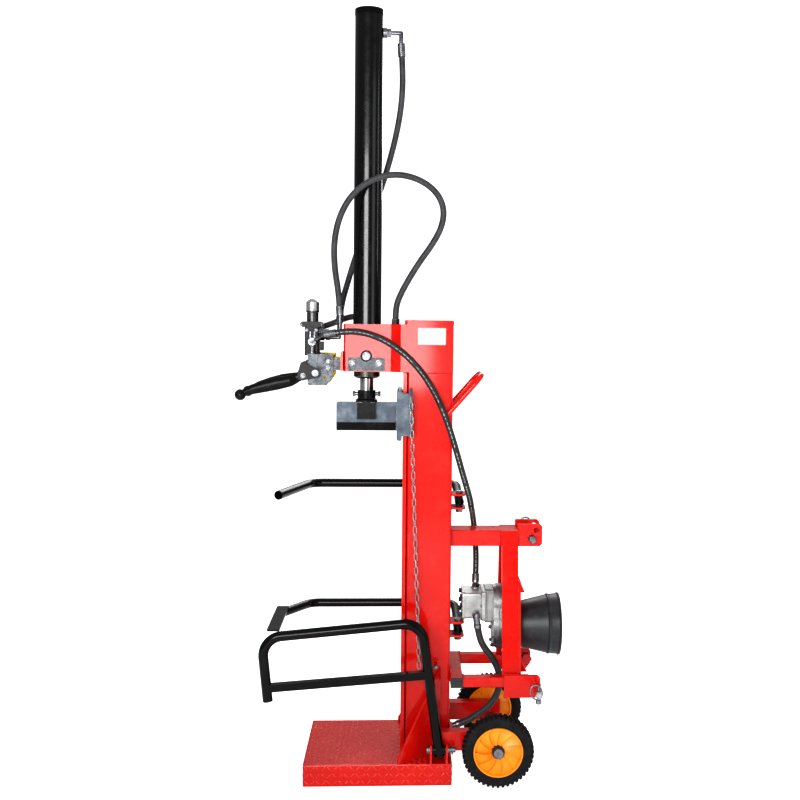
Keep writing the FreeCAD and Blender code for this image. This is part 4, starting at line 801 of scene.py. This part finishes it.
def make_gearbox_trim():
    """Bolts round the casting's joint and on the pump's flange, and the casting's ribs."""
    # dark holds the painted shade in the pump screws' sockets and under their heads
    bolts, ribs, dark = bmesh.new(), bmesh.new(), bmesh.new()
    low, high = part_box("gearbox_housing")
    pump_low, pump_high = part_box("pump_body")
    shaft_z, pump_z = low.z + high.y, high.z - 0.064
    for centre_z, radius, degrees in ((shaft_z, 0.0700, (165, 205, 245, 295, 335, 15)),
                                      (pump_z, 0.0535, (65, 115))):
        for angle in degrees:
            a = math.radians(angle)
            place = Vector((low.x + 0.027, radius * math.cos(a), centre_z + radius * math.sin(a)))
            hex_nut(bolts, place, -X, 0.0065, 0.0055)
    for y in (pump_low.y + 0.0045, pump_high.y - 0.0045):
        for rise in (0.008, 0.050, 0.092):
            cap_screw(bolts, dark, Vector((pump_high.x - 0.012, y, pump_low.z + rise)), -X, 0.0042)
    add_piece("gearbox_bolts", bolts, ZINC, "frame", 30)
    add_piece("gearbox_painted_shade", dark, CAP, "frame", 30)
    for side in (-1, 1):
        for x in (low.x + 0.0415, low.x + 0.0525):
            outline = ((-0.014, -0.044), (0.0015, -0.019), (0.0015, 0.031), (-0.012, 0.079))
            rim = [Vector((x, side * (high.y + out), shaft_z + rise)) for out, rise in outline]
            block(ribs, rim, [p + X * 0.004 for p in rim])
        rib_x, rib_y = low.x + 0.004, side * (pump_high.y - 0.0125)
        foot = [Vector((rib_x, rib_y, z)) for z in (pump_low.z, pump_high.z - 0.004)]
        block(ribs, [foot[0], foot[1], foot[1] + X * 0.004, foot[0] + X * 0.004],
              [p + Y * (side * 0.004) for p in (foot[0], foot[1], foot[1] + X * 0.004, foot[0] + X * 0.004)])
    add_piece("gearbox_ribs", ribs, HOUSING, "frame", 30)


def make_ferrule_crimps():
    """Ridges pressed into the hoses' end sleeves."""
    mesh = bmesh.new()
    ends = [(*PRESSURE_HOSE[:2], 5), (*PRESSURE_HOSE[:-3:-1], 4), (*RETURN_HOSE[:2], 4),
            (*CYLINDER_HOSE[:-3:-1], 4), (*CYLINDER_HOSE[:2], 6), (*CROSS_HOSE[:2], 2)]
    for end, before, count in ends:
        end, before = Vector(end), Vector(before)
        way = (end - before).normalized()
        side = way.orthogonal().normalized()
        for k in range(count):
            ring_about(mesh, end + way * (0.003 + 0.0062 * k), way, side,
                       [(-0.0022, 0.0119), (-0.0012, 0.0127), (0.0012, 0.0127), (0.0022, 0.0119)], 28)
    add_piece("ferrule_crimps", mesh, ZINC, "frame", 40)


def make_head_trim():
    """The rubber ring round each trunnion pin, and the blank plate on the head."""
    rings = bmesh.new()
    low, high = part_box("trunnion_pins")
    middle_x, middle_z = (low.x + high.x) / 2, (low.z + high.z) / 2
    reach, thick = 0.0170, 0.0018
    for side in (-1, 1):
        turns = [2 * math.pi * k / 10 for k in range(10)]
        circle = [(thick * math.cos(a), reach + thick * math.sin(a)) for a in turns]
        ring_about(rings, Vector((middle_x, side * (high.y - 0.0025), middle_z)), Y, X, circle, 48)
    add_piece("trunnion_rings", rings, RUBBER, "frame", 60)
    plate = bmesh.new()
    outline = []
    low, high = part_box("column_tube")
    left, right, foot, head = low.x + 0.037, high.x - 0.028, high.z - 0.062, high.z - 0.013
    face, rounding = low.y - 0.0099, 0.003
    corners = ((right, head, 0), (left, head, 90), (left, foot, 180), (right, foot, 270))
    for corner_x, corner_z, start in corners:
        for k in range(5):
            a = math.radians(start + 22.5 * k)
            outline.append(Vector((corner_x + rounding * math.cos(a), face,
                                   corner_z + rounding * math.sin(a))))
    block(plate, outline, [p - Y * 0.0007 for p in outline])
    add_piece("blank_label_plate", plate, LABEL, "frame", 30)


def make_welds():
    """Beads on both sides of the frame and of the ram, and a painted highlight line along the base's top edges.
    """
    mesh = bmesh.new()
    low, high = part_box("base_plate")
    column_low, column_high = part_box("column_tube")
    beam_low, beam_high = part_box("hitch_beam")
    head_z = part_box("head_bracket")[0].z
    front, back, face, top = column_low.x, column_high.x, column_high.y, high.z
    beam_side, beam_foot, beam_top, beam_end = beam_high.y, beam_low.z, beam_high.z, beam_high.x
    low_frame_z = beam_foot - 0.408
    joints = (((front + 0.002, face + 0.0015, top + 0.0015), (front + 0.102, face + 0.0015, top + 0.0015)),
              ((back - 0.038, face + 0.0035, top + 0.003), (back - 0.038, face + 0.0035, top + 0.269)),
              ((back - 0.031, face + 0.0075, top + 0.0015), (front - 0.012, face + 0.113, top + 0.0015)),
              ((front + 0.042, face + 0.0025, head_z - 0.001), (back - 0.002, face + 0.0025, head_z - 0.001)),
              ((back + 0.0015, beam_side + 0.0015, beam_foot + 0.002),
               (back + 0.0015, beam_side + 0.0015, beam_top - 0.002)),
              ((beam_end - 0.0555, beam_side + 0.002, beam_foot + 0.004),
               (beam_end - 0.0555, beam_side + 0.002, beam_top - 0.002)),
              ((beam_end - 0.047, beam_side + 0.0975, low_frame_z + 0.009),
               (beam_end - 0.002, beam_side + 0.0975, low_frame_z + 0.009)),
              ((back + 0.0415, beam_side + 0.063, low_frame_z),
               (back + 0.0415, beam_side + 0.094, low_frame_z)),
              ((back + 0.001, face + 0.001, low_frame_z - 0.033),
               (back + 0.001, face + 0.001, low_frame_z - 0.002)),
              ((beam_end + 0.001, beam_side + 0.0055, beam_foot + 0.004),
               (beam_end + 0.001, beam_side + 0.0055, beam_top + 0.018)))
    for side in (-1, 1):
        for start, end in joints:
            bead(mesh, Vector((start[0], side * start[1], start[2])), Vector((end[0], side * end[1], end[2])))
    for half, z in ((0.040, beam_top + 0.001), (0.072, low_frame_z)):
        bead(mesh, Vector((back + 0.0015, -half, z)), Vector((back + 0.0015, half, z)))
    # Thin lighter-red bars along the base plate's top edges: a painted highlight line.
    edge = bmesh.new()
    line_z, line_x, thick = high.z - 0.0008, low.x + 0.0012, 0.0016
    for side in (low.y, high.y):
        y = side * 0.9945
        tube_along(edge, [Vector((low.x + 0.002, y, line_z)), Vector((high.x - 0.002, y, line_z))], thick, 10)
    tube_along(edge, [Vector((line_x, low.y + 0.003, line_z)), Vector((line_x, high.y - 0.003, line_z))],
               thick, 10)
    add_piece("base_edge_painted_highlight", edge, RUBBED_AND_HIGHLIT_RED, "frame", 60)
    add_piece("frame_welds", mesh, RED, "frame", 50)
    ram = bmesh.new()
    blade_low, blade_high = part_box("splitting_blade")
    block_low, block_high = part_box("rod_coupling")
    heel, seam_z = blade_high.x - 0.0015, blade_high.z + 0.0005
    for side in (-1, 1):
        y, heel_y = side * (block_high.y - 0.005), side * (blade_high.y + 0.001)
        # This bead is bright steel: a real weld, and its bright line along the coupling a painted highlight.
        bead(ram, Vector((block_low.x + 0.0065, y, seam_z)), Vector((block_high.x - 0.0065, y, seam_z)), 0.0022)
        bead(ram, Vector((heel, heel_y, blade_low.z + 0.003)), Vector((heel, heel_y, blade_high.z - 0.002)))
    add_piece("ram_welds_and_highlight", ram, STEEL, "ram", 50)


make_hitch_pins()
make_valve_trim()
make_gearbox_trim()
make_ferrule_crimps()
make_head_trim()
make_welds()


# ---- stage ----
def make_stage():
    """A plain pale floor; it glows a little more for the camera than for the lit object."""
    floor = bmesh.new()
    reach = 40.0
    corners = ((-1, -1), (1, -1), (1, 1), (-1, 1))
    floor.faces.new([floor.verts.new((x * reach, y * reach, 0)) for x, y in corners])
    data = bpy.data.meshes.new("floor")
    floor.to_mesh(data)
    floor.free()
    f = Finish("floor_pale", Specular_IOR_Level=0.1)
    glow, cast = (f.node("ShaderNodeEmission", Strength=power).outputs["Emission"] for power in (0.55, 0.20))
    seen = f.node("ShaderNodeLightPath").outputs["Is Camera Ray"]
    light = f.node("ShaderNodeMixShader", Fac=seen, i1=cast, i2=glow).outputs["Shader"]
    both = f.node("ShaderNodeAddShader", i0=f.shader.outputs["BSDF"], i1=light).outputs["Shader"]
    f.tree.links.new(both, f.tree.nodes["Material Output"].inputs["Surface"])
    cloud = f.noise(0.8, 3)
    f.link(f.ramp(cloud, (0.3, (0.86, 0.86, 0.86)), (0.7, (0.89, 0.89, 0.89))), "Base Color")
    f.link(f.span(cloud, 0.75, 0.9), "Roughness")
    data.materials.append(f.material)
    made = bpy.data.objects.new("floor", data)
    bpy.context.scene.collection.objects.link(made)


def area_light(name, place, target, size, power, colour=(1, 1, 1)):
    """A rectangular soft light at a place, aimed at a target; size in metres, power in watts."""
    data = bpy.data.lights.new(name, "AREA")
    data.shape = "RECTANGLE"
    data.size, data.size_y = size
    data.energy = power
    data.color = colour
    made = bpy.data.objects.new(name, data)
    made.location = place
    made.rotation_euler = (Vector(target) - Vector(place)).to_track_quat("-Z", "Y").to_euler()
    bpy.context.scene.collection.objects.link(made)


def make_world():
    """A white room that is darker towards the horizon, with a plain white wall behind the machine."""
    world = bpy.data.worlds.new("studio")
    world.use_nodes = True
    tree = world.node_tree
    room = tree.nodes["Background"]
    room.inputs["Color"].default_value = (1.0, 1.0, 1.0, 1)
    height = tree.nodes.new("ShaderNodeSeparateXYZ")
    tree.links.new(tree.nodes.new("ShaderNodeTexCoord").outputs["Generated"], height.inputs["Vector"])
    strength = tree.nodes.new("ShaderNodeMapRange")
    tree.links.new(height.outputs["Z"], strength.inputs["Value"])
    for socket, value in (("From Min", 0.0), ("From Max", 0.75), ("To Min", 0.10), ("To Max", 0.62)):
        strength.inputs[socket].default_value = value
    tree.links.new(strength.outputs["Result"], room.inputs["Strength"])
    wall = tree.nodes.new("ShaderNodeBackground")
    wall.inputs["Color"].default_value = (1.0, 1.0, 1.0, 1)
    wall.inputs["Strength"].default_value = 1.0
    choice = tree.nodes.new("ShaderNodeMixShader")
    tree.links.new(tree.nodes.new("ShaderNodeLightPath").outputs["Is Camera Ray"], choice.inputs["Fac"])
    tree.links.new(room.outputs["Background"], choice.inputs[1])
    tree.links.new(wall.outputs["Background"], choice.inputs[2])
    tree.links.new(choice.outputs["Shader"], tree.nodes["World Output"].inputs["Surface"])
    bpy.context.scene.world = world


make_stage()
make_world()
bpy.context.scene.view_settings.view_transform = "Standard"
bpy.context.scene.view_settings.look = "High Contrast"
MIDDLE, LOWER, UPPER = (0, 0, 1.35), (0, 0, 1.2), (0, 0, 1.4)
area_light("key", (-0.96, -4.2, 1.8), MIDDLE, (2.4, 1.7), 120)
area_light("fill", (3.2, -3.0, 1.9), LOWER, (1.8, 2.6), 18)
area_light("side", (3.4, 0.0, 1.7), UPPER, (0.3, 2.6), 9, (0.86, 0.92, 1.0))
area_light("rear", (0.6, 3.4, 3.0), (0, 0, 1.3), (2.5, 1.6), 40)
